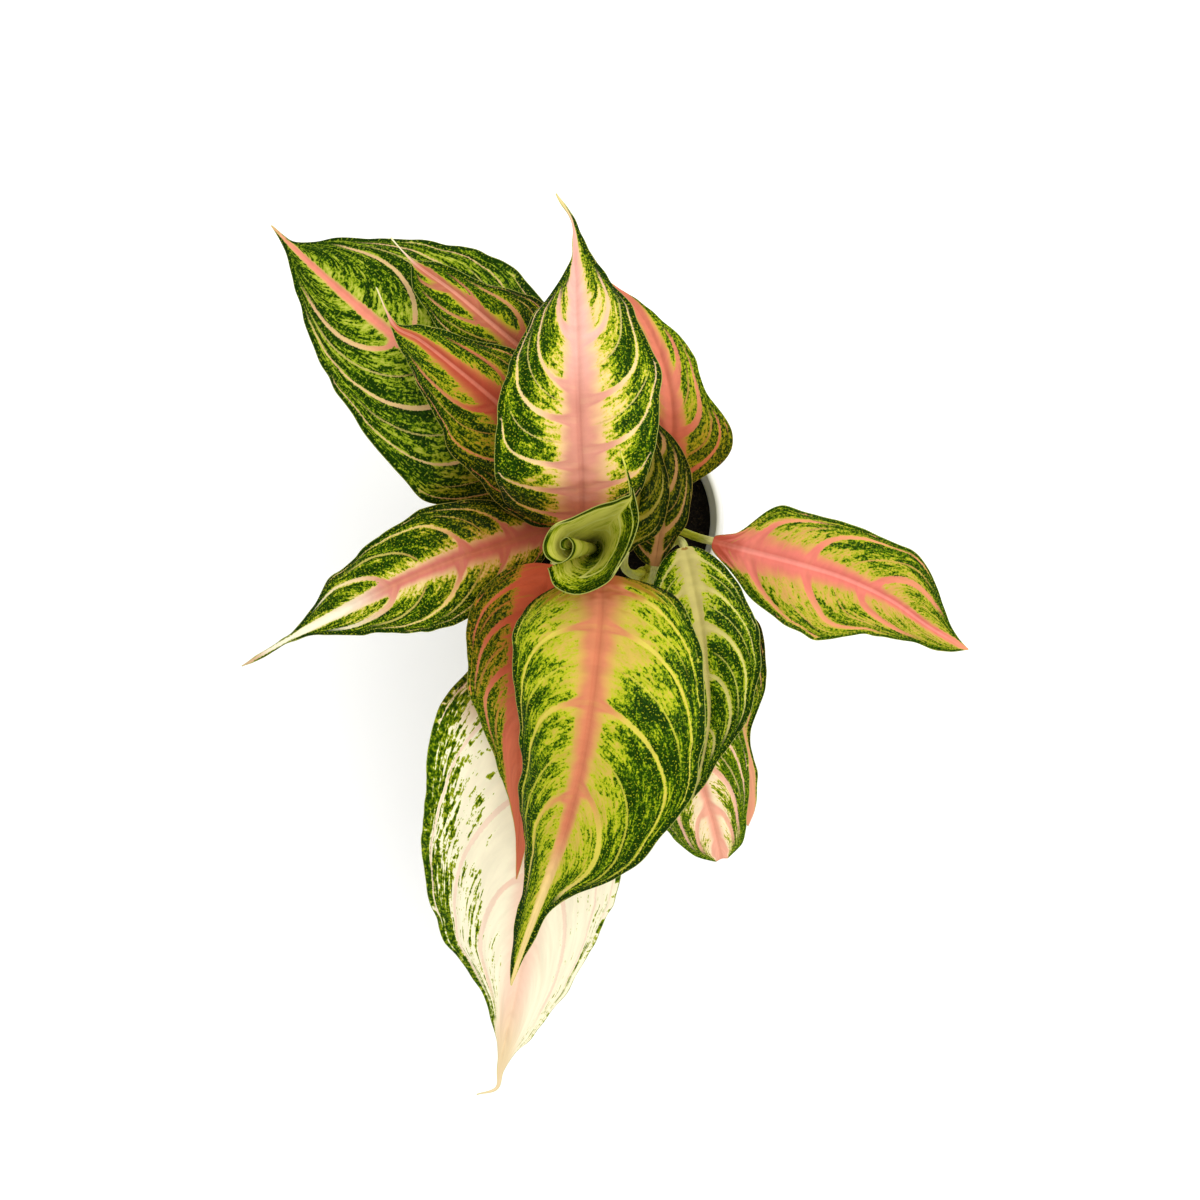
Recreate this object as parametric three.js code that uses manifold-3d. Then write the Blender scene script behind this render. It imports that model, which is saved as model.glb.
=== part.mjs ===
// A potted aglaonema: a white pot, soil, three shoots and sixteen patterned leaves.
// Millimetres, +Z up, the origin at the centre of the pot's flat base.

import * as THREE from 'three';
import { mergeVertices } from 'three/addons/utils/BufferGeometryUtils.js';
import Module from 'manifold-3d';

const wasm = await Module();
wasm.setup();

// Pot
const POT_TOP_RADIUS = 60;
const POT_HEIGHT = 115;
const POT_BASE_RADIUS = 44;
const POT_WALL = 3.6;
const POT_FLOOR = 5.5;
const LIP_HEIGHT = 8;
const LIP_OVERHANG = 1.6;
const LIP_WIDTH = 4.8;
const POT_EDGE_ROUND = 2;
const POT_SIDES = 48;

// Soil
const SEAT_GAP = 0.3;
const SOIL_TOP = 94;
const SOIL_MOUND = 4;
const SOIL_LUMP = 0.7;
const SOIL_RINGS = [0.93, 0.8, 0.66, 0.52, 0.38, 0.24, 0.12];

// Stems and petioles
const CANE_FOOT = 55;
const CANE_RADIUS = 6;
const CANE_NODE_SPACING = 9;
const CANE_NODE_RISE = 0.5;
const CANE_NODE_HALF_HEIGHT = 1.4;
const CANE_END_ROUND = 4;
const CANE_SIDES = 14;
const PETIOLE_SHEATH_RADIUS = 4.6;
const PETIOLE_RADIUS = 2.1;
const PETIOLE_UPRIGHT = 2;
const PETIOLE_SIDES = 8;
const PETIOLE_STEPS = 10;

// Leaf blades
const BLADE_THICKNESS = 0.8;
const RIB_DEPTH = 1.3;
const STALK_HALF_WIDTH = 2;
const TIP_HALF_WIDTH = 0.35;
const WIDTH_STATIONS = [0, 0.06, 0.2, 0.4, 0.6, 0.8, 0.93, 1];
const ROW_SHARES = [0, 0.03, 0.08, 0.15, 0.23, 0.32, 0.41, 0.5, 0.59, 0.68, 0.76, 0.84, 0.9, 0.95, 1];
const COLUMN_SHARES = [-1, -0.68, -0.34, 0, 0.34, 0.68, 1];

// Colours
const WHITE_GLAZE = 0xf4f4f1;
const DARK_SOIL = 0x2a1f18;
const STEM_GREEN = 0xb9c487;
const LEAF_GREEN = 0x6d8f2c;
const LEAF_PINK = 0xd98f74;
const LEAF_CREAM = 0xe9e3bd;
const LEAF_DARK = 0x3c5f1c;

// Each leaf has a rib through a few points from its petiole to its tip, half
// widths at the inner width stations on both sides, and the angles of its cross
// section in degrees at the base, the middle and the tip. Left and right are
// seen from above, looking along the rib. A positive bank turns the right side
// down. A wave of the margin is a height in millimetres, a count along the leaf
// and a phase, and a ruffle is the same with a share of the half width.
const LEAVES = {
  leaf_top: {
    rib: [[-20, -12, 278], [-20, 9, 297], [-21, 32, 304], [-22, 60, 302], [-23, 90, 288],
      [-24, 120, 268], [-25, 138, 258], [-33, 153, 252]],
    left: [39, 42, 37, 23, 3.5, 1.5],
    right: [24, 35, 40, 28, 11, 3],
    curlLeft: [34, 34, 34],
    curlRight: [34, 34, 34],
    bank: [0, -4, -14],
    colour: LEAF_CREAM,
  },
  leaf_front: {
    rib: [[-11, -35, 289], [-11, -53, 302], [-13, -74, 311], [-16, -99, 313], [-21, -128, 305],
      [-29, -159, 291], [-39, -188, 276], [-48, -214, 263], [-55, -236, 254]],
    left: [38, 51, 55, 39, 8, 2],
    right: [39, 44, 36, 29, 12, 6],
    curlLeft: [34, 34, 34],
    curlRight: [40, 50, 60],
    bank: [2, 8, 10],
    colour: LEAF_GREEN,
  },
  leaf_left_inner: {
    rib: [[-19, -6, 258], [-36, 23, 273], [-59, 46, 275], [-82, 66, 266], [-100, 81, 252],
      [-114, 90, 242], [-123, 109, 240]],
    left: [27, 35, 34, 22, 10.5, 1],
    right: [21, 28, 30, 18, 7, 1.5],
    bank: [0, 0, 0],
    colour: LEAF_PINK,
  },
  leaf_left_back: {
    rib: [[-13, 49, 238], [-36, 66, 252], [-59, 84, 255], [-83, 105, 247], [-102, 120, 236],
      [-110, 128, 231], [-117, 136, 230]],
    left: [19, 24, 21, 20, 11.5, 1.5],
    right: [16, 25, 25, 14, 7.5, 1.5],
    bank: [0, 0, 0],
    colour: LEAF_PINK,
  },
  leaf_upper_left: {
    rib: [[-38, 20, 210], [-60, 39, 222], [-85, 60, 228], [-110, 82, 226], [-137, 105, 214],
      [-164, 130, 198], [-186, 152, 184]],
    left: [33, 54, 48, 37, 17, 3.5],
    right: [38, 60, 67, 52, 25, 2],
    curlLeft: [24, 24, 24],
    curlRight: [24, 24, 24],
    bank: [0, 0, 0],
    colour: LEAF_GREEN,
  },
  leaf_upper_right: {
    rib: [[21, 9, 228], [24, 28, 238], [24, 50, 242], [20, 70, 240], [14, 88, 233],
      [5, 104, 224], [-6, 116, 214]],
    left: [10, 15, 16, 13, 7, 3],
    right: [16, 30, 21, 14, 5, 1.5],
    waveRight: [2.4, 2.5, 0.2],
    ruffleRight: [0.1, 2.5, -0.3],
    bank: [0, 0, 0],
    colour: LEAF_PINK,
  },
  leaf_left_low: {
    rib: [[-36, -11, 241], [-58, -19, 249], [-83, -27, 250], [-111, -38, 242], [-141, -52, 226],
      [-173, -67, 204], [-202, -82, 182]],
    left: [16, 28, 32, 15, 3, 2],
    right: [16, 28, 31, 19, 3, 1],
    bank: [0, 0, 0],
    colour: LEAF_CREAM,
  },
  leaf_red: {
    rib: [[-34, -30, 256], [-40, -52, 265], [-44, -76, 266], [-48, -103, 258], [-51, -131, 246],
      [-52, -160, 233], [-54, -189, 222]],
    left: [20, 28, 26, 18, 8, 3],
    right: [24, 35, 30, 14, 3.5, 1],
    bank: [0, 0, 0],
    colour: LEAF_PINK,
  },
  leaf_bottom: {
    rib: [[-33, -67, 218], [-36, -97, 228], [-39, -131, 226], [-43, -165, 213], [-49, -205, 190],
      [-55, -248, 164], [-63, -286, 143], [-68, -310, 131], [-70, -322, 127], [-81, -326, 127]],
    left: [34, 51, 53, 38, 18, 2.5],
    right: [42, 61, 62, 49, 12, 1.2],
    curlLeft: [22, 22, 22],
    curlRight: [22, 22, 22],
    bank: [0, 0, 0],
    colour: LEAF_CREAM,
  },
  leaf_right: {
    rib: [[30, -21, 254], [33, -37, 263], [37, -59, 267], [40, -81, 264], [42, -103, 256],
      [40, -124, 244], [35, -148, 228]],
    left: [14, 24, 29, 22, 9, 4],
    right: [15, 23, 28, 22, 12, 4],
    bank: [0, 0, 0],
    colour: LEAF_DARK,
  },
  leaf_far_right: {
    rib: [[46, -17, 224], [67, -23, 231], [89, -29, 235], [112, -36, 231], [137, -47, 220],
      [160, -61, 204], [183, -73, 190]],
    left: [7, 27, 27, 28, 16, 3.5],
    right: [10.5, 26, 35, 22, 12, 6.5],
    curlLeft: [18, 18, 18],
    curlRight: [18, 18, 18],
    waveRight: [1.5, 3, 0.3],
    bank: [0, 0, 0],
    colour: LEAF_PINK,
  },
  leaf_blunt: {
    rib: [[17, -68, 204], [24, -88, 212], [32, -114, 212], [41, -141, 203], [49, -166, 186],
      [55, -189, 168]],
    left: [14, 28, 30, 27, 19, 13],
    right: [20, 32, 34, 32, 24, 15],
    bank: [0, 0, 0],
    colour: LEAF_CREAM,
  },
  leaf_low_right: {
    rib: [[31, -47, 190], [41, -68, 197], [49, -91, 197], [57, -116, 188], [65, -141, 173],
      [70, -171, 152]],
    left: [18, 33, 27, 10, 8, 5],
    right: [12, 24, 28, 22, 12, 5],
    bank: [0, 0, 0],
    colour: LEAF_PINK,
  },
  leaf_shade_inner: {
    rib: [[1, -23, 264], [5, -8, 272], [7, 9, 275], [6, 26, 272], [2, 44, 264]],
    left: [6, 10, 12, 10, 6, 3],
    right: [5, 14, 16, 14, 8.5, 3.5],
    bank: [0, 0, 0],
    colour: LEAF_DARK,
  },
  leaf_shade_outer: {
    rib: [[16, -30, 244], [18, -12, 256], [19, 7, 261], [16, 27, 258], [11, 45, 251]],
    left: [10, 16, 17, 14, 7, 4],
    right: [4, 9, 15, 15, 10.5, 4],
    bank: [0, 0, 0],
    colour: LEAF_DARK,
  },
};
const FOLD = 8;
const CURL = [28, 28, 28];
const NO_WAVE = [0, 1, 0];

// The rolled young leaf is a sheet between a small round scroll at its foot and
// the spiral of its open mouth. The mouth's points are [x, y] from the scroll's
// axis and the height, from the outer margin round to the tip and on into the
// inner scroll, each with the direction in degrees of the same place below.
const SCROLL_AXIS = [-15, -22];
const SCROLL_FOOT = 268;
const SCROLL_OUTER_RADIUS = 4.8;
const SCROLL_INNER_RADIUS = 1.2;
const SCROLL_FLARE = 2;
const MOUTH = [
  [-20, -10.5, 322, 207], [-16.5, -19, 325, 229], [-6, -22.5, 330, 255], [6.5, -17.5, 335, 290],
  [12.5, -9.5, 338, 323], [17.5, -0.5, 341, 358], [20.5, 10, 344, 386], [20, 19, 347, 403],
  [15, 35, 352, 421], [11.5, 21.5, 347, 436], [2.5, 17, 344, 455], [-8.5, 11, 341, 488],
  [-17, 8, 338, 516], [-21.5, 0.5, 336, 539], [-20.5, -5.5, 334, 565], [-15, -8.5, 333, 600],
  [-10, -5.5, 332, 640], [-8.5, -0.5, 331, 680], [-11, 3, 330, 740], [-14, 1.5, 329, 800],
  [-14, -1.5, 329, 850], [-12, -2.5, 329, 890],
];
const MOUTH_TIP = 8;
const SCROLL_STEPS_PER_POINT = 2;
const SCROLL_ROWS = 9;

// Each shoot is a short cane with the petioles of its leaves, each from its own
// height on the cane to the foot of its blade.
const SHOOTS = {
  shoot_main: {
    foot: [-16, -20],
    top: 152,
    petioles: {
      leaf_top: 138, leaf_front: 134, leaf_left_inner: 130, leaf_left_low: 122, leaf_red: 117,
      leaf_upper_left: 108, leaf_bottom: 103,
    },
  },
  shoot_right: {
    foot: [8, 4],
    top: 136,
    petioles: { leaf_left_back: 124, leaf_upper_right: 119, leaf_far_right: 110 },
  },
  shoot_front: {
    foot: [14, -34],
    top: 130,
    petioles: {
      leaf_shade_inner: 118, leaf_right: 115, leaf_shade_outer: 112, leaf_blunt: 108, leaf_low_right: 104,
    },
  },
};

const radians = THREE.MathUtils.degToRad;

// A closed geometry with its equal vertices merged and its empty triangles left out.
function closed(geometry) {
  const bare = geometry.clone();
  for (const name of Object.keys(bare.attributes)) {
    if (name !== 'position') bare.deleteAttribute(name);
  }
  const merged = mergeVertices(bare, 1e-3);
  const index = merged.index.array;
  const kept = [];
  for (let i = 0; i < index.length; i += 3) {
    const [a, b, c] = [index[i], index[i + 1], index[i + 2]];
    if (a !== b && b !== c && c !== a) kept.push(a, b, c);
  }
  merged.setIndex(kept);
  return merged;
}

function toManifold(geometry) {
  const merged = closed(geometry);
  return new wasm.Manifold(new wasm.Mesh({
    numProp: 3,
    vertProperties: new Float32Array(merged.attributes.position.array),
    triVerts: new Uint32Array(merged.index.array),
  }));
}

function fromManifold(solid) {
  const { vertProperties, triVerts } = solid.getMesh();
  const geometry = new THREE.BufferGeometry();
  geometry.setAttribute('position', new THREE.BufferAttribute(new Float32Array(vertProperties), 3));
  geometry.setIndex(Array.from(triVerts));
  return geometry;
}

// A solid of revolution about the vertical axis, from [radius, height] pairs.
function turned(profile, sides) {
  const points = profile.map(([radius, height]) => new THREE.Vector2(radius, height));
  return new THREE.LatheGeometry(points, sides).rotateX(Math.PI / 2);
}

// A round stick of changing radius, turned straight and then bent along a curve.
function bentStick(curve, radiusAt, sides, steps) {
  const profile = [[0, 0]];
  for (let i = 0; i <= steps; i++) profile.push([radiusAt(i / steps), i]);
  profile.push([0, steps]);
  const stick = turned(profile, sides);
  const frames = curve.computeFrenetFrames(steps, false);
  const position = stick.attributes.position;
  for (let i = 0; i < position.count; i++) {
    const step = Math.round(position.getZ(i));
    const place = curve.getPointAt(step / steps);
    place.addScaledVector(frames.normals[step], position.getX(i));
    place.addScaledVector(frames.binormals[step], position.getY(i));
    position.setXYZ(i, place.x, place.y, place.z);
  }
  return stick;
}

// A closed sheet about a grid of points, with the same triangles on both faces.
// Its front face looks along columns x rows, and depth(row, column) thickens it
// at the back.
function sheet(grid, depth) {
  const rows = grid.length;
  const columns = grid[0].length;
  const at = (i, j) => grid[Math.min(Math.max(i, 0), rows - 1)][Math.min(Math.max(j, 0), columns - 1)];
  const front = [];
  const back = [];
  for (let i = 0; i < rows; i++) {
    for (let j = 0; j < columns; j++) {
      const across = at(i, j + 1).clone().sub(at(i, j - 1));
      const along = at(i + 1, j).clone().sub(at(i - 1, j));
      const normal = across.cross(along).normalize();
      front.push(...grid[i][j].clone().addScaledVector(normal, BLADE_THICKNESS / 2));
      back.push(...grid[i][j].clone().addScaledVector(normal, -BLADE_THICKNESS / 2 - depth(i, j)));
    }
  }
  const underside = rows * columns;
  const index = [];
  for (let i = 0; i < rows - 1; i++) {
    for (let j = 0; j < columns - 1; j++) {
      const a = i * columns + j;
      const [b, c, d] = [a + 1, a + columns + 1, a + columns];
      index.push(a, b, c, a, c, d);
      index.push(a + underside, c + underside, b + underside, a + underside, d + underside, c + underside);
    }
  }
  const rim = [];
  for (let j = 0; j < columns - 1; j++) rim.push(j);
  for (let i = 0; i < rows - 1; i++) rim.push(i * columns + columns - 1);
  for (let j = columns - 1; j > 0; j--) rim.push((rows - 1) * columns + j);
  for (let i = rows - 1; i > 0; i--) rim.push(i * columns);
  rim.forEach((u, k) => {
    const v = rim[(k + 1) % rim.length];
    index.push(v, u, u + underside, v, u + underside, v + underside);
  });
  const geometry = new THREE.BufferGeometry();
  geometry.setAttribute('position', new THREE.Float32BufferAttribute([...front, ...back], 3));
  geometry.setIndex(index);
  return geometry;
}

// A value through three numbers at the base, the middle and the tip.
function between([base, middle, tip], s) {
  return base * (1 - s) * (1 - 2 * s) + 4 * middle * s * (1 - s) + tip * s * (2 * s - 1);
}

// The half width at share s of the rib, by a monotone cubic in the root of s,
// which rounds the base.
function halfWidth(inner, s) {
  const q = WIDTH_STATIONS.map(Math.sqrt);
  const w = [STALK_HALF_WIDTH, ...inner, TIP_HALF_WIDTH];
  const step = q.slice(1).map((value, i) => value - q[i]);
  const rise = step.map((value, i) => (w[i + 1] - w[i]) / value);
  const slope = w.map((_, i) => {
    if (i === 0) return rise[0];
    if (i === w.length - 1) return rise[i - 1];
    if (rise[i - 1] * rise[i] <= 0) return 0;
    const first = 2 * step[i] + step[i - 1];
    const second = step[i] + 2 * step[i - 1];
    return (first + second) / (first / rise[i - 1] + second / rise[i]);
  });
  const x = Math.sqrt(s);
  let i = 0;
  while (i < step.length - 1 && x > q[i + 1]) i++;
  const t = (x - q[i]) / step[i];
  return (2 * t ** 3 - 3 * t ** 2 + 1) * w[i] + (t ** 3 - 2 * t ** 2 + t) * step[i] * slope[i]
    + (3 * t ** 2 - 2 * t ** 3) * w[i + 1] + (t ** 3 - t ** 2) * step[i] * slope[i + 1];
}

// A wave along the leaf that dies away at its base and tip.
function ripple([height, count, phase] = NO_WAVE, s) {
  return height * Math.sqrt(Math.sin(Math.PI * s)) * Math.sin(2 * Math.PI * (count * s + phase));
}

function ribCurve(leaf) {
  return new THREE.CatmullRomCurve3(leaf.rib.map((p) => new THREE.Vector3(...p)), false, 'catmullrom', 0.5);
}

// A blade: each cross section is an arc that leaves the rib at the fold angle
// and curls down towards the margin, with a wave along the margin.
function blade(leaf) {
  const curve = ribCurve(leaf);
  const up = new THREE.Vector3(0, 0, 1);
  const grid = ROW_SHARES.map((s) => {
    const place = curve.getPointAt(s);
    const tangent = curve.getTangentAt(s);
    const level = tangent.clone().cross(up).normalize();
    const over = level.clone().cross(tangent);
    const bank = radians(between(leaf.bank, s));
    const side = level.clone().multiplyScalar(Math.cos(bank)).addScaledVector(over, -Math.sin(bank));
    const normal = over.clone().multiplyScalar(Math.cos(bank)).addScaledVector(level, Math.sin(bank));
    return COLUMN_SHARES.map((share) => {
      const right = share > 0;
      const t = Math.abs(share);
      const width = halfWidth(right ? leaf.right : leaf.left, s);
      const curl = radians(between((right ? leaf.curlRight : leaf.curlLeft) ?? CURL, s));
      const fold = radians(FOLD);
      const wave = t ** 2 * ripple(right ? leaf.waveRight : leaf.waveLeft, s);
      const ruffle = 1 + t ** 2 * ripple(right ? leaf.ruffleRight : leaf.ruffleLeft, s);
      const out = ruffle * width * (Math.sin(fold) - Math.sin(fold - curl * t)) / curl;
      const rise = width * (Math.cos(fold - curl * t) - Math.cos(fold)) / curl + wave;
      return place.clone().addScaledVector(side, Math.sign(share) * out).addScaledVector(normal, rise);
    });
  });
  const middle = COLUMN_SHARES.indexOf(0);
  return sheet(grid, (i, j) => (j === middle ? RIB_DEPTH * (1 - ROW_SHARES[i]) : 0));
}

// The point of the rolled leaf's section at one control place and height share.
function scrollPlace([x, y, height, direction], v) {
  const share = (direction - MOUTH[0][3]) / (MOUTH.at(-1)[3] - MOUTH[0][3]);
  const radius = SCROLL_OUTER_RADIUS + (SCROLL_INNER_RADIUS - SCROLL_OUTER_RADIUS) * share;
  const flare = v ** SCROLL_FLARE;
  return new THREE.Vector3(
    SCROLL_AXIS[0] + (1 - flare) * radius * Math.cos(radians(direction)) + flare * x,
    SCROLL_AXIS[1] + (1 - flare) * radius * Math.sin(radians(direction)) + flare * y,
    SCROLL_FOOT + (height - SCROLL_FOOT) * v,
  );
}

function rolledLeaf() {
  const steps = (MOUTH.length - 1) * SCROLL_STEPS_PER_POINT;
  const grid = [];
  for (let i = 0; i <= SCROLL_ROWS; i++) {
    const section = new THREE.CatmullRomCurve3(
      MOUTH.map((point) => scrollPlace(point, i / SCROLL_ROWS)), false, 'catmullrom', 0.5,
    );
    grid.push(Array.from({ length: steps + 1 }, (_, j) => section.getPoint(j / steps)));
  }
  return sheet(grid, () => 0);
}

// A petiole leaves the cane upwards and ends at the foot of its rib, where the
// blade bends away from it.
function petiole(foot, height, end, ribDirection) {
  const start = new THREE.Vector3(foot[0], foot[1], height);
  const direction = ribDirection.clone().add(new THREE.Vector3(0, 0, PETIOLE_UPRIGHT)).normalize();
  const bend = direction.angleTo(ribDirection);
  const tip = end.clone().addScaledVector(direction, -SEAT_GAP - PETIOLE_RADIUS * Math.sin(bend));
  const reach = tip.distanceTo(start);
  const leave = start.clone().lerp(tip, 0.12).add(new THREE.Vector3(0, 0, 0.3 * reach));
  const arrive = tip.clone().addScaledVector(direction, -0.28 * reach);
  const curve = new THREE.CubicBezierCurve3(start, leave, arrive, tip);
  const radiusAt = (u) => PETIOLE_RADIUS
    + (PETIOLE_SHEATH_RADIUS - PETIOLE_RADIUS) * (1 - THREE.MathUtils.smoothstep(u, 0, 0.6));
  return bentStick(curve, radiusAt, PETIOLE_SIDES, PETIOLE_STEPS);
}

// A cane with a raised ring at each node and a rounded top.
function cane(shoot) {
  const [x, y] = shoot.foot;
  const bevel = CANE_END_ROUND / 4;
  const profile = [[0, CANE_FOOT], [CANE_RADIUS - bevel, CANE_FOOT]];
  profile.push([CANE_RADIUS, CANE_FOOT + CANE_END_ROUND]);
  for (let z = SOIL_TOP + CANE_NODE_SPACING; z < shoot.top - 2 * CANE_END_ROUND; z += CANE_NODE_SPACING) {
    profile.push([CANE_RADIUS, z - CANE_NODE_HALF_HEIGHT]);
    profile.push([CANE_RADIUS + CANE_NODE_RISE, z]);
    profile.push([CANE_RADIUS, z + CANE_NODE_HALF_HEIGHT]);
  }
  profile.push([CANE_RADIUS - bevel, shoot.top - CANE_END_ROUND]);
  profile.push([CANE_RADIUS / 2, shoot.top - bevel]);
  profile.push([0, shoot.top]);
  return turned(profile, CANE_SIDES).translate(x, y, 0);
}

function shootSolid(name) {
  const shoot = SHOOTS[name];
  let solid = toManifold(cane(shoot));
  for (const [leafName, height] of Object.entries(shoot.petioles)) {
    const curve = ribCurve(LEAVES[leafName]);
    solid = solid.add(toManifold(petiole(shoot.foot, height, curve.getPointAt(0), curve.getTangentAt(0))));
  }
  if (name === 'shoot_main') {
    const foot = scrollPlace(MOUTH[MOUTH_TIP], 0);
    solid = solid.add(toManifold(petiole(shoot.foot, shoot.top - 12, foot, new THREE.Vector3(0, 0, 1))));
  }
  return fromManifold(solid);
}

// The pot's outer and inner wall radius at a height, on straight tapering sides.
const wallTop = POT_TOP_RADIUS - LIP_OVERHANG;
const lipFoot = POT_HEIGHT - LIP_HEIGHT;
const outerRadius = (z) => POT_BASE_RADIUS + (wallTop - POT_BASE_RADIUS) * (z / lipFoot);
const innerRadius = (z) => outerRadius(z) - POT_WALL;

// Points on a quarter circle about a centre, from one angle in degrees to another.
function roundedCorner(centreRadius, centreHeight, round, from, to) {
  return [0, 0.5, 1].map((share) => {
    const angle = radians(from + (to - from) * share);
    return [centreRadius + round * Math.cos(angle), centreHeight + round * Math.sin(angle)];
  });
}

function potSolid() {
  const round = POT_EDGE_ROUND;
  const lipInside = POT_TOP_RADIUS - LIP_WIDTH;
  return turned([
    [0, 0],
    ...roundedCorner(POT_BASE_RADIUS - round, round, round, -90, -5),
    [outerRadius(lipFoot), lipFoot],
    [POT_TOP_RADIUS, lipFoot + LIP_OVERHANG],
    ...roundedCorner(POT_TOP_RADIUS - round, POT_HEIGHT - round, round, 0, 90),
    ...roundedCorner(lipInside + round, POT_HEIGHT - round, round, 90, 180),
    [innerRadius(lipFoot), lipFoot],
    [innerRadius(POT_FLOOR + 2 * round), POT_FLOOR + 2 * round],
    [innerRadius(POT_FLOOR) - 2 * round, POT_FLOOR],
    [0, POT_FLOOR],
  ], POT_SIDES);
}

// The height of the soil's small lumps over its smooth mound.
function soilLump(x, y) {
  return SOIL_LUMP * (Math.sin(0.42 * x + 1) * Math.cos(0.37 * y) + Math.sin(0.9 * x - 0.8 * y));
}

// The soil fills the pot, with a low mound, small lumps and a plain hole for each cane.
function soilSolid() {
  const round = POT_EDGE_ROUND;
  const floor = POT_FLOOR + SEAT_GAP;
  const corner = floor + 2 * round;
  const edge = innerRadius(SOIL_TOP) - SEAT_GAP;
  const body = turned([
    [0, floor],
    [innerRadius(floor) - 2 * round - SEAT_GAP, floor],
    [innerRadius(corner) - 2 * SEAT_GAP, corner],
    [edge, SOIL_TOP],
    ...SOIL_RINGS.map((share) => [edge * share, SOIL_TOP + SOIL_MOUND * (1 - share ** 2)]),
    [0, SOIL_TOP + SOIL_MOUND],
  ], POT_SIDES);
  const position = body.attributes.position;
  for (let i = 0; i < position.count; i++) {
    const [x, y, z] = [position.getX(i), position.getY(i), position.getZ(i)];
    if (z > SOIL_TOP + SEAT_GAP) position.setZ(i, z + soilLump(x, y));
  }
  let solid = toManifold(body);
  for (const shoot of Object.values(SHOOTS)) {
    const radius = CANE_RADIUS + SEAT_GAP;
    const bottom = CANE_FOOT - SEAT_GAP;
    const depth = POT_HEIGHT - bottom;
    const hole = new THREE.CylinderGeometry(radius, radius, depth, CANE_SIDES * 2).rotateX(Math.PI / 2);
    hole.translate(shoot.foot[0], shoot.foot[1], bottom + depth / 2);
    solid = solid.subtract(toManifold(hole));
  }
  return fromManifold(solid);
}

function piece(name, geometry, colour, roughness) {
  const finished = closed(geometry);
  finished.computeVertexNormals();
  const mesh = new THREE.Mesh(finished, new THREE.MeshStandardMaterial({ color: colour, roughness }));
  mesh.name = name;
  return mesh;
}

const plant = new THREE.Group();
plant.name = 'potted_aglaonema';
plant.add(piece('pot', potSolid(), WHITE_GLAZE, 0.2));
plant.add(piece('soil', soilSolid(), DARK_SOIL, 0.95));
for (const name of Object.keys(SHOOTS)) plant.add(piece(name, shootSolid(name), STEM_GREEN, 0.45));
for (const [name, leaf] of Object.entries(LEAVES)) plant.add(piece(name, blade(leaf), leaf.colour, 0.4));
plant.add(piece('leaf_rolled', rolledLeaf(), LEAF_GREEN, 0.4));

export default plant;
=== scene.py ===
# %% [markdown]
# # A potted aglaonema
# The object is a young aglaonema: three short canes rise from the soil of a
# white glazed pot, and long petioles carry its large patterned leaves. The packed
# CAD model is the frame, and each step below stands a finer surface in the place
# of one of its plain nodes, in metres with +Z up, so nothing has to be fitted.
# A blade, a stalk and a turned pot are all functions of two parameters, so they
# are worked out as numpy grids, which is quicker and more even than sculpting.

import bpy
import numpy as np
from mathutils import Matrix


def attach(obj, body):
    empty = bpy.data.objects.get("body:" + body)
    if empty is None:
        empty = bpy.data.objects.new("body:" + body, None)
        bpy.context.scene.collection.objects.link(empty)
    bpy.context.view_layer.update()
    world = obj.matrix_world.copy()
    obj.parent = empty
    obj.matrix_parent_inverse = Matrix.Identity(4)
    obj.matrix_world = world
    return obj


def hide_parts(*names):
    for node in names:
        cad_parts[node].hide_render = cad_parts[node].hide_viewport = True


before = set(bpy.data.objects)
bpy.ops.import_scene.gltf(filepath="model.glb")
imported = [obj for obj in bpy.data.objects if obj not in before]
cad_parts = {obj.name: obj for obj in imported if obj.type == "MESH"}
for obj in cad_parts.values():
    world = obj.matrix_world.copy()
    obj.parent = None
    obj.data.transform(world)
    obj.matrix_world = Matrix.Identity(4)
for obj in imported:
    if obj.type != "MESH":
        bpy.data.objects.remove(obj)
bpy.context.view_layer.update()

MM = 0.001
UP = np.array([0.0, 0.0, 1.0])
print("nodes in the frame:", len(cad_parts))

# %% [markdown]
# ## Standing in for a node
# Every finished piece needs the same three things: its material, the node that it stands for, and
# the body that it moves with. One short function says them all, so no piece misses one.


def finish_piece(piece, material, node):
    """Gives a piece its material and says which node it stands for."""
    piece.data.materials.append(material)
    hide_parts(node)
    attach(piece, "root")
    print(piece.name, "stands for", node, "with", len(piece.data.polygons), "faces")


# %% [markdown]
# ## The colours of the leaves
# A variegated leaf has few pigments: green from lime to nearly black, cream where
# the green is missing, and a pink that lies under both. They could be chosen leaf
# by leaf, but all leaves of one plant share them, so one small palette in linear
# light serves every blade, and a leaf only adds the tints that are its own.

# %% The palette
IVORY = (0.96, 0.88, 0.66)
CREAM = (0.86, 0.63, 0.23)
YELLOW = (0.60, 0.50, 0.05)
LIME = (0.40, 0.44, 0.012)
LEAF_GREEN = (0.20, 0.27, 0.003)
MID_GREEN = (0.085, 0.165, 0.002)
DARK_GREEN = (0.019, 0.058, 0.0004)
DEEP_GREEN = (0.007, 0.028, 0.0001)
PINK = (0.88, 0.29, 0.19)
PALE_PINK = (0.87, 0.50, 0.37)
VEIN_YELLOW = (0.64, 0.55, 0.08)
# Painted shade: the tone by which a leaf's colours are multiplied where leaves above shade it.
PAINTED_SHADE_TONE = (0.60, 0.40, 0.30)
print("greens from light to dark:", LIME, LEAF_GREEN, MID_GREEN, DARK_GREEN, DEEP_GREEN)
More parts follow.
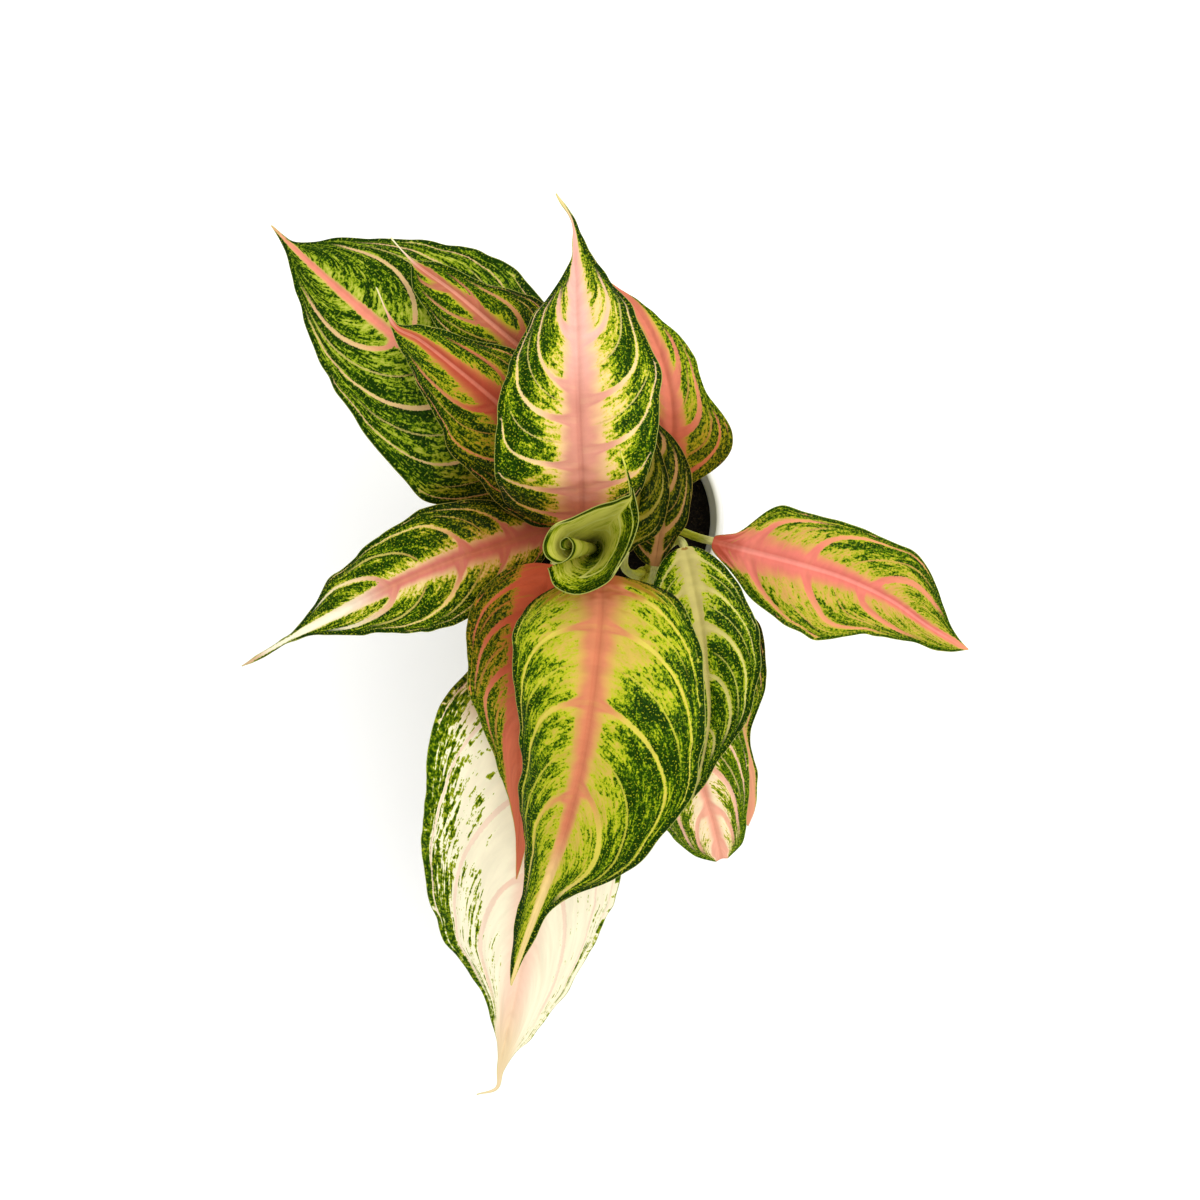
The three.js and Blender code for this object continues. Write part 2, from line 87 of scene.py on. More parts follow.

# %% [markdown]
# ## How a leaf is described
# Leaves of one plant are built alike and differ in numbers, so a table describes
# them and one function builds them all. All lengths are millimetres.
#
# - `rib`: points from the petiole to the tip. `left` and `right`: half widths at
#   fixed shares of the rib, seen from above along the rib, less `trim`, where the
#   margin draws in. `curl` and `bank`: angles at the base, the middle and the tip.
# - `wave` and `ruffle`: height, number and phase of a margin's waves, up and down
#   and in and out. `notch`: how deep the tip is cut.
# - `veins`: a row for each main side vein, with the share of the rib where it
#   leaves, how far it sweeps towards the tip, its half width, that of the fine
#   vein after it, and how much greener the strips before and after that one are.
#   `steep`: a higher power lets the veins run straighter before they turn.
# - `green` and `gain`: the share of the half width where the green starts, and
#   how fast it rises from there. `thread`: the share of the rib where it ends.
# - `reach`: how far the blush spreads from the rib. `coarse`: the pattern's size.
# - `paint`: the tints, and `dusk`, the share of the rib that lies in shade; that shade is painted
#   into the colours.
#
# A fact that ends in `_left` or `_right` belongs to that side only. What a leaf
# leaves out is plain, and so are the zeros at the end of a vein's row.

# %% Measures that all leaves share
STALK_HALF_WIDTH = 2.0
TIP_HALF_WIDTH = 0.35
WIDTH_STATIONS = np.array([0, 0.06, 0.2, 0.4, 0.6, 0.8, 0.93, 1])
FOLD = 8.0
PLAIN = dict(bank=(0, 0, 0), thread=2, notch=0, coarse=1.0)
PLAIN_SIDE = dict(curl=(28, 28, 28), wave=(0, 1, 0), ruffle=(0, 1, 0), trim=(), steep=2.0,
                  veins=None, green=None, gain=None, reach=None)
LEAVES = {}
print("half widths are given at", WIDTH_STATIONS[1:-1], "of the rib")

# %% [markdown]
# ## The two leaves on top
# The youngest open leaves are the largest and lie uppermost. One points away over
# the back of the pot: rosy along its rib, ivory beside it, with dark islands
# towards the margin. The other hangs forward: lime round a warm pink rib, and
# nearly black green over its outer half.

# %% The two leaves on top
LEAVES["leaf_top"] = dict(
    rib=[(-20, -12, 278), (-20, 9, 297), (-21, 32, 304), (-22, 60, 302), (-23, 90, 288),
        (-24, 120, 268), (-25, 138, 258), (-33, 153, 252)],
    left=(39, 42, 37, 23, 3.5, 1.5), right=(24, 35, 40, 28, 11, 3), curl=(34, 34, 34),
    bank=(0, -4, -14),
    veins_left=[(0.04, 0.02, 0.8, 0, 0.1, 0.1), (0.12, 0.012, 1.3, 0, -0.1, -0.05),
        (0.19, 0.035, 1.3, 0.25, 0.3, 0.1), (0.3, 0.09, 1.4, 0.25, 0.0, 0.4),
        (0.38, 0.25, 0.9, 0, 0.2, 0.2), (0.52, 0.5, 1.1, 0, -0.1, 0.15)],
    veins_right=[(0.04, 0.02, 0.7, 0.2), (0.135, 0.02, 1.1, 0, -0.1),
        (0.225, 0.062, 1.4, 0.3, 0.15, -0.15), (0.345, 0.12, 1.3, 0.35, 0.3, -0.1),
        (0.5, 0.24, 1.2, 0, -0.4, 0.1), (0.65, 0.3)],
    thread=0.93, green_left=(0.38, 0.3, 0.0), green_right=(0.5, 0.4, 0.2), gain_left=2.0,
    gain_right=1.5, trim_left=((0.6, 1), (0.68, 1.5), (0.8, 2.5), (0.9, 1)),
    trim_right=((0.68, 1), (0.8, 3), (0.93, 1.8), (0.98, 0.3)), reach=(10, 7, -2),
    reach_left=(10, 4, 0),
    paint=dict(ground=(0.80, 0.56, 0.24), outer=YELLOW, blush=(0.60, 0.25, 0.18),
        rib=(0.50, 0.19, 0.14), vein=(0.84, 0.58, 0.30), band=4, dusk=0.2, fade=0.42,
        tip=(0.80, 0.42, 0.34), end=(0.80, 0.62, 0.28)))
LEAVES["leaf_front"] = dict(
    rib=[(-11, -35, 289), (-11, -53, 302), (-13, -74, 311), (-16, -99, 313), (-21, -128, 305),
        (-29, -159, 291), (-39, -188, 276), (-48, -214, 263), (-55, -236, 254)],
    left=(38, 51, 55, 39, 8, 2), right=(39, 44, 36, 29, 12, 6), curl_left=(34, 34, 34),
    curl_right=(40, 50, 60), bank=(2, 8, 10), steep_left=1.5,
    veins_left=[(0.04, 0.06, 1.0, 0.3, -0.05), (0.13, 0.085, 1.2, 0.4, -0.05, 0.7),
        (0.29, 0.12, 1.2, 0.45, 0.6), (0.47, 0.33, 1.3, 0, -0.1, 0.1), (0.64, 0.5)],
    veins_right=[(-0.08, 0.07, 1.0, 0.2), (0.13, 0.075, 1.2, 0.45, 0.1, 0.1),
        (0.29, 0.108, 1.2, 0.45, 0.15, 0.15), (0.5, 0.25, 1.0, 0, 0.1, 0.1), (0.66, 0.4)],
    green_left=(0.6, 0.3, 0.02), green_right=(0.68, 0.34, 0.05), gain_left=1.4, gain_right=1.1,
    trim_left=((0.66, 0), (0.72, 3), (0.78, 2.5), (0.86, 0)),
    trim_right=((0.15, 0), (0.24, 2), (0.32, 0.5), (0.45, 1.5), (0.6, 1.5), (0.67, 5), (0.74, 3),
        (0.82, 0)), reach=(9, 3.2, 1.2),
    paint=dict(ground=(0.54, 0.38, 0.07), outer=(0.42, 0.42, 0.02), blush=(0.58, 0.20, 0.095),
        rib=(0.52, 0.16, 0.08), vein=VEIN_YELLOW, band=4, dusk=0.09, fade=0.66,
        tip=(0.80, 0.60, 0.24), speckle=0.8))
print("rows so far:", list(LEAVES))

# %% [markdown]
# ## The leaves at the back and on the left
# Three leaves lie one behind another at the upper left. The small inner ones are red, and the
# shade of the leaf above is painted into their colours, darker and redder towards the base; the
# large one behind is mottled green with light dots. The leaf at the upper right is pink with a
# wavy margin, and the low one on the left ends in a long cream thread.

# %% The leaves at the back and on the left
LEAVES["leaf_left_inner"] = dict(
    rib=[(-19, -6, 258), (-36, 23, 273), (-59, 46, 275), (-82, 66, 266), (-100, 81, 252),
        (-114, 90, 242), (-123, 109, 240)],
    left=(27, 35, 34, 22, 10.5, 1), right=(21, 28, 30, 18, 7, 1.5),
    veins_left=[(-0.05, 0.05, 0.8, 0.2, 0.2, 0.2), (0.1, 0.07, 0.9, 0.2, 0.2, 0.2),
        (0.25, 0.12, 1.1, 0.2, -0.2, 0.2), (0.42, 0.36, 1.0, 0, -0.1, 0.1),
        (0.6, 0.5, 0, 0, 0.1)],
    veins_right=[(-0.05, 0.05, 0.8, 0.2), (0.08, 0.08, 0.9, 0.2), (0.22, 0.15, 1.0, 0.2, 0.1, 0.1),
        (0.38, 0.41, 1.0, 0, 0.3, 0.2), (0.58, 0.5, 0, 0, 0.1)],
    thread=0.86, trim_left=((0.86, 2.5), (0.93, 0.3)), trim_right=((0.86, 1.5), (0.93, 0.8)),
    green_left=(0.4, 0.2, 0.1), green_right=(0.4, 0.25, 0.1), gain_left=1.3, gain_right=1.2,
    reach=(16, 5, 1.4),
    paint=dict(ground=(0.60, 0.28, 0.07), outer=(0.44, 0.38, 0.02), blush=(0.46, 0.088, 0.044),
        rib=(0.76, 0.28, 0.19), vein=(0.80, 0.34, 0.17), band=3, dusk=0.8, fade=0.95, tip=IVORY))
LEAVES["leaf_left_back"] = dict(
    rib=[(-13, 49, 238), (-36, 66, 252), (-59, 84, 255), (-83, 105, 247), (-102, 120, 236),
        (-110, 128, 231), (-117, 136, 230)],
    left=(19, 24, 21, 20, 11.5, 1.5), right=(16, 25, 25, 14, 7.5, 1.5),
    veins_left=[(-0.05, 0.06, 0.8, 0.2), (0.12, 0.1, 0.9, 0.2, 0.1, 0.1),
        (0.3, 0.2, 1.0, 0.3, 0.2, 0.1), (0.5, 0.4, 0.8, 0, 0.2, 0.1)],
    veins_right=[(-0.05, 0.06, 0.8, 0.2), (0.15, 0.12, 1.0, 0.2, 0.1, 0.1),
        (0.35, 0.27, 1.3, 0, 0.1, 0.3), (0.55, 0.4, 0.6, 0, 0.1, 0.1)],
    thread=0.9, trim_left=((0.86, 3), (0.93, 0.8)), trim_right=((0.86, 2), (0.93, 0.8)),
    green_left=(0.3, 0.0, 0.0), green_right=(0.3, 0.05, 0.0), gain=1.3, reach=(8, 3.5, 1.7),
    paint=dict(ground=LIME, outer=LIME, blush=(0.46, 0.14, 0.075), rib=(0.80, 0.36, 0.25),
        vein=(0.76, 0.42, 0.20), band=3, dusk=0.7, fade=0.92, tip=IVORY))
LEAVES["leaf_upper_left"] = dict(
    rib=[(-38, 20, 210), (-60, 39, 222), (-85, 60, 228), (-110, 82, 226), (-137, 105, 214),
        (-164, 130, 198), (-186, 152, 184)],
    left=(33, 54, 48, 37, 17, 3.5), right=(38, 60, 67, 52, 25, 2), curl=(24, 24, 24),
    veins_left=[(-0.1, 0.05, 0.8, 0.2), (0, 0.06, 1.1, 0.2), (0.15, 0.115, 1.1, 0.35, 0, 0.1),
        (0.3, 0.225, 1.3, 0.4, 0.1, 0.2), (0.49, 0.4, 1.3, 0, 0.2, 0.1),
        (0.66, 0.4, 0, 0, 0.2, 0.2)],
    veins_right=[(-0.05, 0.07, 0.9, 0.2, 0.1), (0.07, 0.09, 0.9, 0.2, 0.1),
        (0.2, 0.13, 1.1, 0.3, 0.1, 0.2), (0.33, 0.2, 1.2, 0.3, 0.2, 0.3),
        (0.47, 0.4, 1.3, 0, 0.3, 0.2), (0.64, 0.4, 0, 0, 0.2, 0.2)],
    coarse=1.3, green=(-0.2, -0.2, -0.3), gain=0.6, reach=(4, 3, 0.8),
    paint=dict(ground=(0.50, 0.50, 0.08), outer=(0.34, 0.40, 0.03), lime=(0.30, 0.38, 0.02),
        blush=(0.76, 0.26, 0.17), vein=(0.74, 0.47, 0.23), band=3, dusk=0.3, fade=0.97,
        speckle=1.0, streak=1.5))
LEAVES["leaf_upper_right"] = dict(
    rib=[(21, 9, 228), (24, 28, 238), (24, 50, 242), (20, 70, 240), (14, 88, 233), (5, 104, 224),
        (-6, 116, 214)],
    left=(10, 15, 16, 13, 7, 3), right=(16, 30, 21, 14, 5, 1.5), wave_right=(2.4, 2.5, 0.2),
    ruffle_right=(0.1, 2.5, -0.3),
    veins_left=[(-0.08, 0.1, 1.0, 0.2), (0.05, 0.15, 1.2, 0.2), (0.24, 0.19, 1.4, 0.3),
        (0.42, 0.35, 1.2, 0, 0.1), (0.6, 0.5)],
    veins_right=[(-0.08, 0.1, 1.4, 0.3), (0.05, 0.15, 1.7, 0.5, 0.05),
        (0.24, 0.19, 1.9, 0.4, 0, 0.1), (0.42, 0.35, 1.4, 0, 0.2), (0.6, 0.5)],
    green_left=(0.1, 0.1, 0.3), green_right=(0.1, 0.15, 0.4), gain_left=1.1, gain_right=0.75,
    reach=(8, 4.5, 2),
    paint=dict(ground=(0.62, 0.42, 0.07), outer=LIME, blush=(0.68, 0.20, 0.12),
        vein=(0.80, 0.29, 0.17), band=1.5, deepest=0.38, dusk=0.5, fade=1.2))
LEAVES["leaf_left_low"] = dict(
    rib=[(-36, -11, 241), (-58, -19, 249), (-83, -27, 250), (-111, -38, 242), (-141, -52, 226),
        (-173, -67, 204), (-202, -82, 182)],
    left=(16, 28, 32, 15, 3, 2), right=(16, 28, 31, 19, 3, 1),
    veins_left=[(0, 0.06, 0.7, 0.2), (0.13, 0.09, 0.7, 0.4, 0.1, 0.15),
        (0.24, 0.15, 1.1, 0.45, 0.25, 0.2), (0.43, 0.28, 1.4, 0, -0.05, 0.2), (0.6, 0.5)],
    veins_right=[(-0.02, 0.06, 0.7, 0.2, 0.1, 0.1), (0.1, 0.07, 0.8, 0.2, 0.2, 0.2),
        (0.22, 0.1, 1.1, 0.45, 0.3, 0.3), (0.45, 0.22, 1.1, 0, 0.15, 0.2), (0.62, 0.4)],
    green_left=(0.45, 0.22, 0.02), green_right=(0.35, 0.14, 0.02), gain_left=1.4, gain_right=1.6,
    trim_left=((0.32, 0), (0.42, 4), (0.5, 3), (0.58, 0.5), (0.8, 1)),
    trim_right=((0.3, 0), (0.42, 5), (0.5, 4), (0.58, 1), (0.8, 1)), reach=(6.5, 2.8, 1.2),
    paint=dict(ground=(0.84, 0.66, 0.30), outer=YELLOW, blush=(0.64, 0.21, 0.155),
        rib=(0.62, 0.24, 0.14), vein=CREAM, band=3, dusk=0.42, fade=0.52, tip=IVORY,
        end=(0.70, 0.42, 0.26)))
print("rows so far:", len(LEAVES))

# %% [markdown]
# ## The red and the cream leaf
# Below the front leaf hang a red one, mottled with olive and painted darker and redder towards its
# base for the front leaf's shade, and the largest of all, which has lost nearly all its green:
# cream with pink veins, and green flecks that crowd along one margin. Its pattern is coarser, so
# `coarse` is high.

# %% The red and the cream leaf
LEAVES["leaf_red"] = dict(
    rib=[(-34, -30, 256), (-40, -52, 265), (-44, -76, 266), (-48, -103, 258), (-51, -131, 246),
        (-52, -160, 233), (-54, -189, 222)],
    left=(20, 28, 26, 18, 8, 3), right=(24, 35, 30, 14, 3.5, 1),
    veins_left=[(-0.06, 0.06, 1.2, 0.3), (0.05, 0.1, 1.5, 0.4), (0.16, 0.12, 1.6, 0.4),
        (0.3, 0.15, 1.6, 0.4), (0.46, 0.3, 1.2)],
    veins_right=[(-0.06, 0.06, 1.4, 0.3, 0.1), (0.05, 0.1, 1.7, 0.4, 0.1, 0.2),
        (0.16, 0.12, 1.9, 0.5, 0.1, 0.1), (0.3, 0.15, 1.8, 0.5, 0.15, 0.1),
        (0.46, 0.3, 1.4, 0, -0.1)],
    green_left=(0.4, 0.4, 0.4), green_right=(0.3, 0.35, 0.35), gain=0.7, reach=(14, 8, 5),
    paint=dict(ground=(0.72, 0.20, 0.10), outer=(0.50, 0.36, 0.03), lime=(0.44, 0.36, 0.02),
        blush=(0.66, 0.16, 0.08), vein=(0.80, 0.28, 0.17), band=1, deepest=0.42, dusk=0.6,
        fade=1.2))
LEAVES["leaf_bottom"] = dict(
    rib=[(-33, -67, 218), (-36, -97, 228), (-39, -131, 226), (-43, -165, 213), (-49, -205, 190),
        (-55, -248, 164), (-63, -286, 143), (-68, -310, 131), (-70, -322, 127), (-81, -326, 127)],
    left=(34, 51, 53, 38, 18, 2.5), right=(42, 61, 62, 49, 12, 1.2), curl=(22, 22, 22),
    veins_left=[(-0.05, 0.06, 1.0, 0, -0.2), (0.1, 0.12, 1.2, 0, -0.1), (0.25, 0.22, 1.3),
        (0.42, 0.4, 1.3), (0.6, 0.5)],
    veins_right=[(-0.05, 0.06, 1.2, 0, 0.2, 0.1), (0.1, 0.13, 1.5, 0, 0.1, 0.1),
        (0.27, 0.3, 1.6, 0, -0.1, 0.1), (0.45, 0.5, 1.5, 0, 0.1, 0.1),
        (0.65, 0.5, 0, 0, 0.2, 0.2)],
    coarse=2.2, green_left=(1.12, 1.1, 1.05), green_right=(0.8, 0.76, 0.74), gain_left=1.9,
    gain_right=2.0, trim_left=((0.38, 6), (0.42, 6), (0.5, 2.5), (0.57, 0.5)),
    trim_right=((0.3, 1), (0.6, 1), (0.86, 1), (0.93, 0)), reach=(9, 8, 5),
    paint=dict(ground=(0.98, 0.89, 0.64), outer=(0.98, 0.94, 0.66), blush=(0.93, 0.64, 0.47),
        vein=(0.94, 0.70, 0.53), band=0.6, streak=1.8, speckle=0.9, deepest=0.42, dusk=0.2,
        fade=0.8, tip=(0.80, 0.62, 0.36)))
print("the cream leaf reaches down to", LEAVES["leaf_bottom"]["rib"][-1][2], "mm")

# %% [markdown]
# ## The leaves on the right
# Beside the front leaf lies a dark one with thin cream veins and a pale foot. A pink and lime one
# stands out to the right on a long petiole. Under them are a small one, pink and cream, whose
# blunt tip has a notch, and a pink one that only shows its edge, with the shade that it lies in
# painted into its colours.

# %% The leaves on the right
LEAVES["leaf_right"] = dict(
    rib=[(30, -21, 254), (33, -37, 263), (37, -59, 267), (40, -81, 264), (42, -103, 256),
        (40, -124, 244), (35, -148, 228)],
    left=(14, 24, 29, 22, 9, 4), right=(15, 23, 28, 22, 12, 4),
    veins=[(-0.08, 0.05, 0.9, 0.2, 0.2, 0.2), (0.04, 0.08, 1.0, 0.25, 0.1, 0.1),
        (0.16, 0.14, 0.8, 0.2, 0, 0.2), (0.3, 0.22, 1.0, 0.3, 0.3, 0.3),
        (0.47, 0.45, 0.9, 0, 0.4, 0.3), (0.68, 0.5, 0.6, 0, 0.4, 0.3)],
    green_left=(0.55, -0.15, -0.3), green_right=(0.5, -0.15, -0.3), gain=1.9, reach=(4, 1, 0),
    paint=dict(ground=(0.44, 0.36, 0.12), outer=(0.40, 0.38, 0.05), blush=(0.48, 0.41, 0.13),
        vein=(0.64, 0.58, 0.17), band=3, dusk=0.01, fade=1.2))
LEAVES["leaf_far_right"] = dict(
    rib=[(46, -17, 224), (67, -23, 231), (89, -29, 235), (112, -36, 231), (137, -47, 220),
        (160, -61, 204), (183, -73, 190)],
    left=(7, 27, 27, 28, 16, 3.5), right=(10.5, 26, 35, 22, 12, 6.5), curl=(18, 18, 18),
    wave_right=(1.5, 3, 0.3),
    veins_left=[(-0.02, 0.08, 1.6, 0.2), (0.13, 0.1, 2.0, 0.4, 0, -0.1),
        (0.31, 0.1, 1.9, 0.3, 0.05, 0.1), (0.54, 0.36, 1.9, 0, -0.05, 0.1),
        (0.7, 0.5, 0, 0, 0.1, 0.1)],
    veins_right=[(-0.02, 0.08, 1.5, 0.2, 0.3), (0.13, 0.08, 2.0, 0.4, 0, -0.1),
        (0.31, 0.17, 1.9, 0.3, 0.1, 0.2), (0.5, 0.3, 1.6, 0, 0, 0.1),
        (0.68, 0.5, 0, 0, 0.1, 0.1)],
    green_left=(0.6, 0.4, 0.15), green_right=(0.66, 0.56, 0.45), gain_left=1.0, gain_right=0.8,
    reach=(12, 3.6, 1.8),
    paint=dict(ground=(0.60, 0.32, 0.09), outer=(0.46, 0.38, 0.04), lime=(0.40, 0.38, 0.02),
        blush=(0.69, 0.175, 0.13), rib=(0.82, 0.30, 0.24), vein=(0.76, 0.29, 0.15), band=2,
        dusk=0.1, fade=0.93, speckle=0.8, deepest=0.6))
LEAVES["leaf_blunt"] = dict(
    rib=[(17, -68, 204), (24, -88, 212), (32, -114, 212), (41, -141, 203), (49, -166, 186),
        (55, -189, 168)],
    left=(14, 28, 30, 27, 19, 13), right=(20, 32, 34, 32, 24, 15), notch=3.5,
    veins_left=[(0, 0.08, 1.0, 0.2, 0.2, 0.2), (0.15, 0.12, 1.1, 0.3, 0.2, 0.2),
        (0.32, 0.2, 1.3, 0.3, 0.2, 0.2), (0.5, 0.4, 1.5, 0, -0.1, 0.1), (0.7, 0.5, 1.2, 0, -0.1)],
    veins_right=[(0, 0.08, 1.0, 0.2, 0.1, 0.1), (0.15, 0.12, 1.1, 0.3, 0.1, 0.1),
        (0.32, 0.2, 1.3, 0.3, 0, 0.1), (0.5, 0.4, 1.4, 0, 0.1, 0.1), (0.7, 0.5, 1.2)],
    green_left=(0.45, 0.35, 0.5), green_right=(0.5, 0.4, 0.5), gain=2.0, reach=(5, 3, 3),
    paint=dict(ground=(0.94, 0.76, 0.48), outer=CREAM, blush=(0.86, 0.40, 0.27),
        rib=(0.72, 0.30, 0.20), vein=PALE_PINK, band=3, streak=1.6, speckle=0.6, deepest=0.4,
        dusk=0.35, fade=1.2))
LEAVES["leaf_low_right"] = dict(
    rib=[(31, -47, 190), (41, -68, 197), (49, -91, 197), (57, -116, 188), (65, -141, 173),
        (70, -171, 152)],
    left=(18, 33, 27, 10, 8, 5), right=(12, 24, 28, 22, 12, 5),
    veins=[(0, 0.08, 1.0, 0.2), (0.15, 0.12, 1.1, 0.3), (0.32, 0.2, 1.3, 0.3), (0.5, 0.4, 1.3),
        (0.7, 0.5, 0.8)],
    green_left=(0.5, 0.5, 0.7), green_right=(0.5, 0.5, 0.6), gain=1.3, reach=(10, 8, 7),
    paint=dict(ground=(0.64, 0.40, 0.14), outer=YELLOW, blush=(0.80, 0.34, 0.20),
        vein=(0.80, 0.40, 0.20), band=2, dusk=0.5, fade=1.2))
print("rows so far:", len(LEAVES))

# %% [markdown]
# ## The shaded leaves
# Two small dark leaves stand behind the rolled one, deep in shade. Photographs show such leaves
# browner as well as darker, because the light that reaches them has passed through leaves, so that
# shade is painted into the whole blade with the shade tone.

# %% The shaded leaves
SHADE_VEINS = [(-0.1, 0.08, 0.8, 0.2, 0.1, 0.1), (0.05, 0.12, 0.9, 0.2, 0.1, 0.1),
               (0.25, 0.2, 0.9, 0.2, 0.1, 0.1), (0.48, 0.35, 0.9, 0, 0.1, 0.1)]
# Their dusk of 2 paints shade over nearly the whole blade.
SHADE_PAINT = dict(ground=(0.20, 0.26, 0.01), outer=(0.20, 0.26, 0.01), lime=(0.26, 0.32, 0.01),
                   band=2, dusk=2.0, fade=1.2)
LEAVES["leaf_shade_inner"] = dict(
    rib=[(1, -23, 264), (5, -8, 272), (7, 9, 275), (6, 26, 272), (2, 44, 264)],
    left=(6, 10, 12, 10, 6, 3), right=(5, 14, 16, 14, 8.5, 3.5),
    veins_left=SHADE_VEINS,
    veins_right=[(-0.1, 0.08, 0.8, 0.2, 0.1, 0.1), (0.05, 0.12, 0.9, 0.2, 0.1, 0.1),
        (0.25, 0.2, 1.0, 0.2, 0.1, 0.1), (0.48, 0.35, 0.9, 0, 0.1, 0.1)],
    green=(-0.8, -0.7, -0.6), gain=0.9, reach=(2, 1, 1),
    paint=dict(SHADE_PAINT, blush=(0.35, 0.40, 0.05), vein=(0.55, 0.66, 0.18)))
LEAVES["leaf_shade_outer"] = dict(
    rib=[(16, -30, 244), (18, -12, 256), (19, 7, 261), (16, 27, 258), (11, 45, 251)],
    left=(10, 16, 17, 14, 7, 4), right=(4, 9, 15, 15, 10.5, 4),
    veins_left=SHADE_VEINS,
    veins_right=[(-0.1, 0.08, 0.8, 0.2, 0.1, 0.1), (0.05, 0.12, 1.0, 0.2, 0.1, 0.1),
        (0.25, 0.2, 1.2, 0.2, 0.1, 0.1), (0.48, 0.35, 1.0, 0, 0.1, 0.1)],
    green=(-0.8, -0.8, -0.6), gain=0.9, reach=(3, 1.5, 1),
    paint=dict(SHADE_PAINT, blush=(0.60, 0.42, 0.20), vein=(0.74, 0.62, 0.30)))
print("leaves in the table:", len(LEAVES))

# %% [markdown]
# ## Filling in the rows
# The table says a fact once where both sides of a leaf agree, and leaves out what
# is plain. The functions below are simpler when every leaf has every fact for each
# side, so one loop writes them out, and the veins become arrays. Four facts have
# no plain value, because every leaf gives its own.

# %% Filling in the rows
VEIN_NUMBERS = 6

for leaf in LEAVES.values():
    for fact, plain in PLAIN.items():
        leaf.setdefault(fact, plain)
    for side in ("_left", "_right"):
        for fact, plain in PLAIN_SIDE.items():
            leaf.setdefault(fact + side, leaf.get(fact, plain))
        leaf["veins" + side] = np.array(
            [(*row, *[0.0] * (VEIN_NUMBERS - len(row))) for row in leaf["veins" + side]])
print("main side veins:", sum(len(leaf["veins_left"]) + len(leaf["veins_right"])
                              for leaf in LEAVES.values()))

# %% [markdown]
# ## Curves through points
# A rib bends in three directions, so it is a curve through a few points of the
# table. A Bezier curve would need handles; a Catmull-Rom curve passes through the
# points themselves, and its length is then measured, so that a share of the rib is
# a share of its real length.

# %% Curves through points
FINE_STEPS = 2001
TANGENT_STEP = 1e-3


def unit(vector):
    """The vector, or each row of an array of them, with length 1."""
    return vector / np.maximum(np.linalg.norm(vector, axis=-1, keepdims=True), 1e-12)


def run_of(path):
    """The length of a path from its start up to each of its points."""
    return np.r_[0, np.cumsum(np.linalg.norm(np.diff(path, axis=0), axis=1))]


def catmull_rom(points, u):
    """Points at u (0 to 1) on the uniform Catmull-Rom curve through `points`."""
    p = np.asarray(points, float)
    p = np.vstack([2 * p[0] - p[1], p, 2 * p[-1] - p[-2]])
    spans = len(p) - 3
    x = np.clip(np.asarray(u, float) * spans, 0, spans - 1e-9)
    i = x.astype(int)
    t = (x - i)[:, None]
    p0, p1, p2, p3 = p[i], p[i + 1], p[i + 2], p[i + 3]
    return 0.5 * (2 * p1 + (p2 - p0) * t + (2 * p0 - 5 * p1 + 4 * p2 - p3) * t**2
                  + (3 * p1 - p0 - 3 * p2 + p3) * t**3)


def along_curve(points, shares):
    """Points and unit tangents at shares of the curve's length, and that length."""
    fine = np.linspace(0, 1, FINE_STEPS)
    run = run_of(catmull_rom(points, fine))
    at = lambda s: catmull_rom(points, np.interp(np.clip(s, 0, 1) * run[-1], run, fine))
    return at(shares), unit(at(shares + TANGENT_STEP) - at(shares - TANGENT_STEP)), run[-1]


rib_length = along_curve(LEAVES["leaf_front"]["rib"], np.array([0.5]))[2]
print("the rib of the front leaf is", round(rib_length), "mm long")

# %% [markdown]
# ## Half widths
# The outline of a blade is smooth, full near its base and drawn out at the tip.
# Straight lines between the table's widths would leave corners, and a plain cubic
# would swing past them. A monotone cubic does neither, and taking it over the
# root of the rib's share makes the base round.

# %% Half widths
TRIM_FADE = 0.06
LEAST_WIDTH = 0.5


def half_width(inner, s):
    """Half width at share s of the rib: a monotone cubic in the root of s, which rounds a base."""
    q = np.sqrt(WIDTH_STATIONS)
    w = np.r_[STALK_HALF_WIDTH, inner, TIP_HALF_WIDTH]
    step, rise = np.diff(q), np.diff(w) / np.diff(q)
    slope = np.zeros(len(w))
    slope[0], slope[-1] = rise[0], rise[-1]
    for i in range(1, len(w) - 1):
        if rise[i - 1] * rise[i] > 0:
            first, second = 2 * step[i] + step[i - 1], step[i] + 2 * step[i - 1]
            slope[i] = (first + second) / (first / rise[i - 1] + second / rise[i])
    x = np.sqrt(np.clip(s, 0, 1))
    i = np.clip(np.searchsorted(q, x) - 1, 0, len(step) - 1)
    t = (x - q[i]) / step[i]
    return ((2 * t**3 - 3 * t**2 + 1) * w[i] + (t**3 - 2 * t**2 + t) * step[i] * slope[i]
            + (3 * t**2 - 2 * t**3) * w[i + 1] + (t**3 - t**2) * step[i] * slope[i + 1])


def side_width(leaf, side, s):
    """Half width of one side, less the few millimetres by which its real margin draws in."""
    width = half_width(leaf[side], s)
    if not leaf["trim_" + side]:
        return width
    stations, trims = np.array(leaf["trim_" + side], float).T
    stations = np.r_[stations[0] - TRIM_FADE, stations, min(stations[-1] + TRIM_FADE, 1)]
    drawn_in = np.interp(s, stations, np.r_[0, trims, 0])
    return np.maximum(width - drawn_in, np.minimum(width, LEAST_WIDTH))


widest = float(half_width(LEAVES["leaf_upper_left"]["right"], 0.4))
print("the widest margin lies", round(widest, 1), "mm from its rib")

# %% [markdown]
# ## Soft steps, thirds and ripples
# Much on a leaf changes slowly from base to tip, and its margins wave. Three
# small formulas say that once: a soft step, a value through three numbers, and a
# wave that dies away at both ends. A fourth gives each side its own numbers.

# %% Soft steps, thirds and ripples
def smoothstep(x, low, high):
    """0 below low, 1 above high, with a soft rise between."""
    t = np.clip((x - low) / (high - low), 0, 1)
    return t * t * (3 - 2 * t)


def between(values, s):
    """A value through three numbers at the base, the middle and the tip."""
    base, middle, tip = values
    return base * (1 - s) * (1 - 2 * s) + 4 * middle * s * (1 - s) + tip * s * (2 * s - 1)


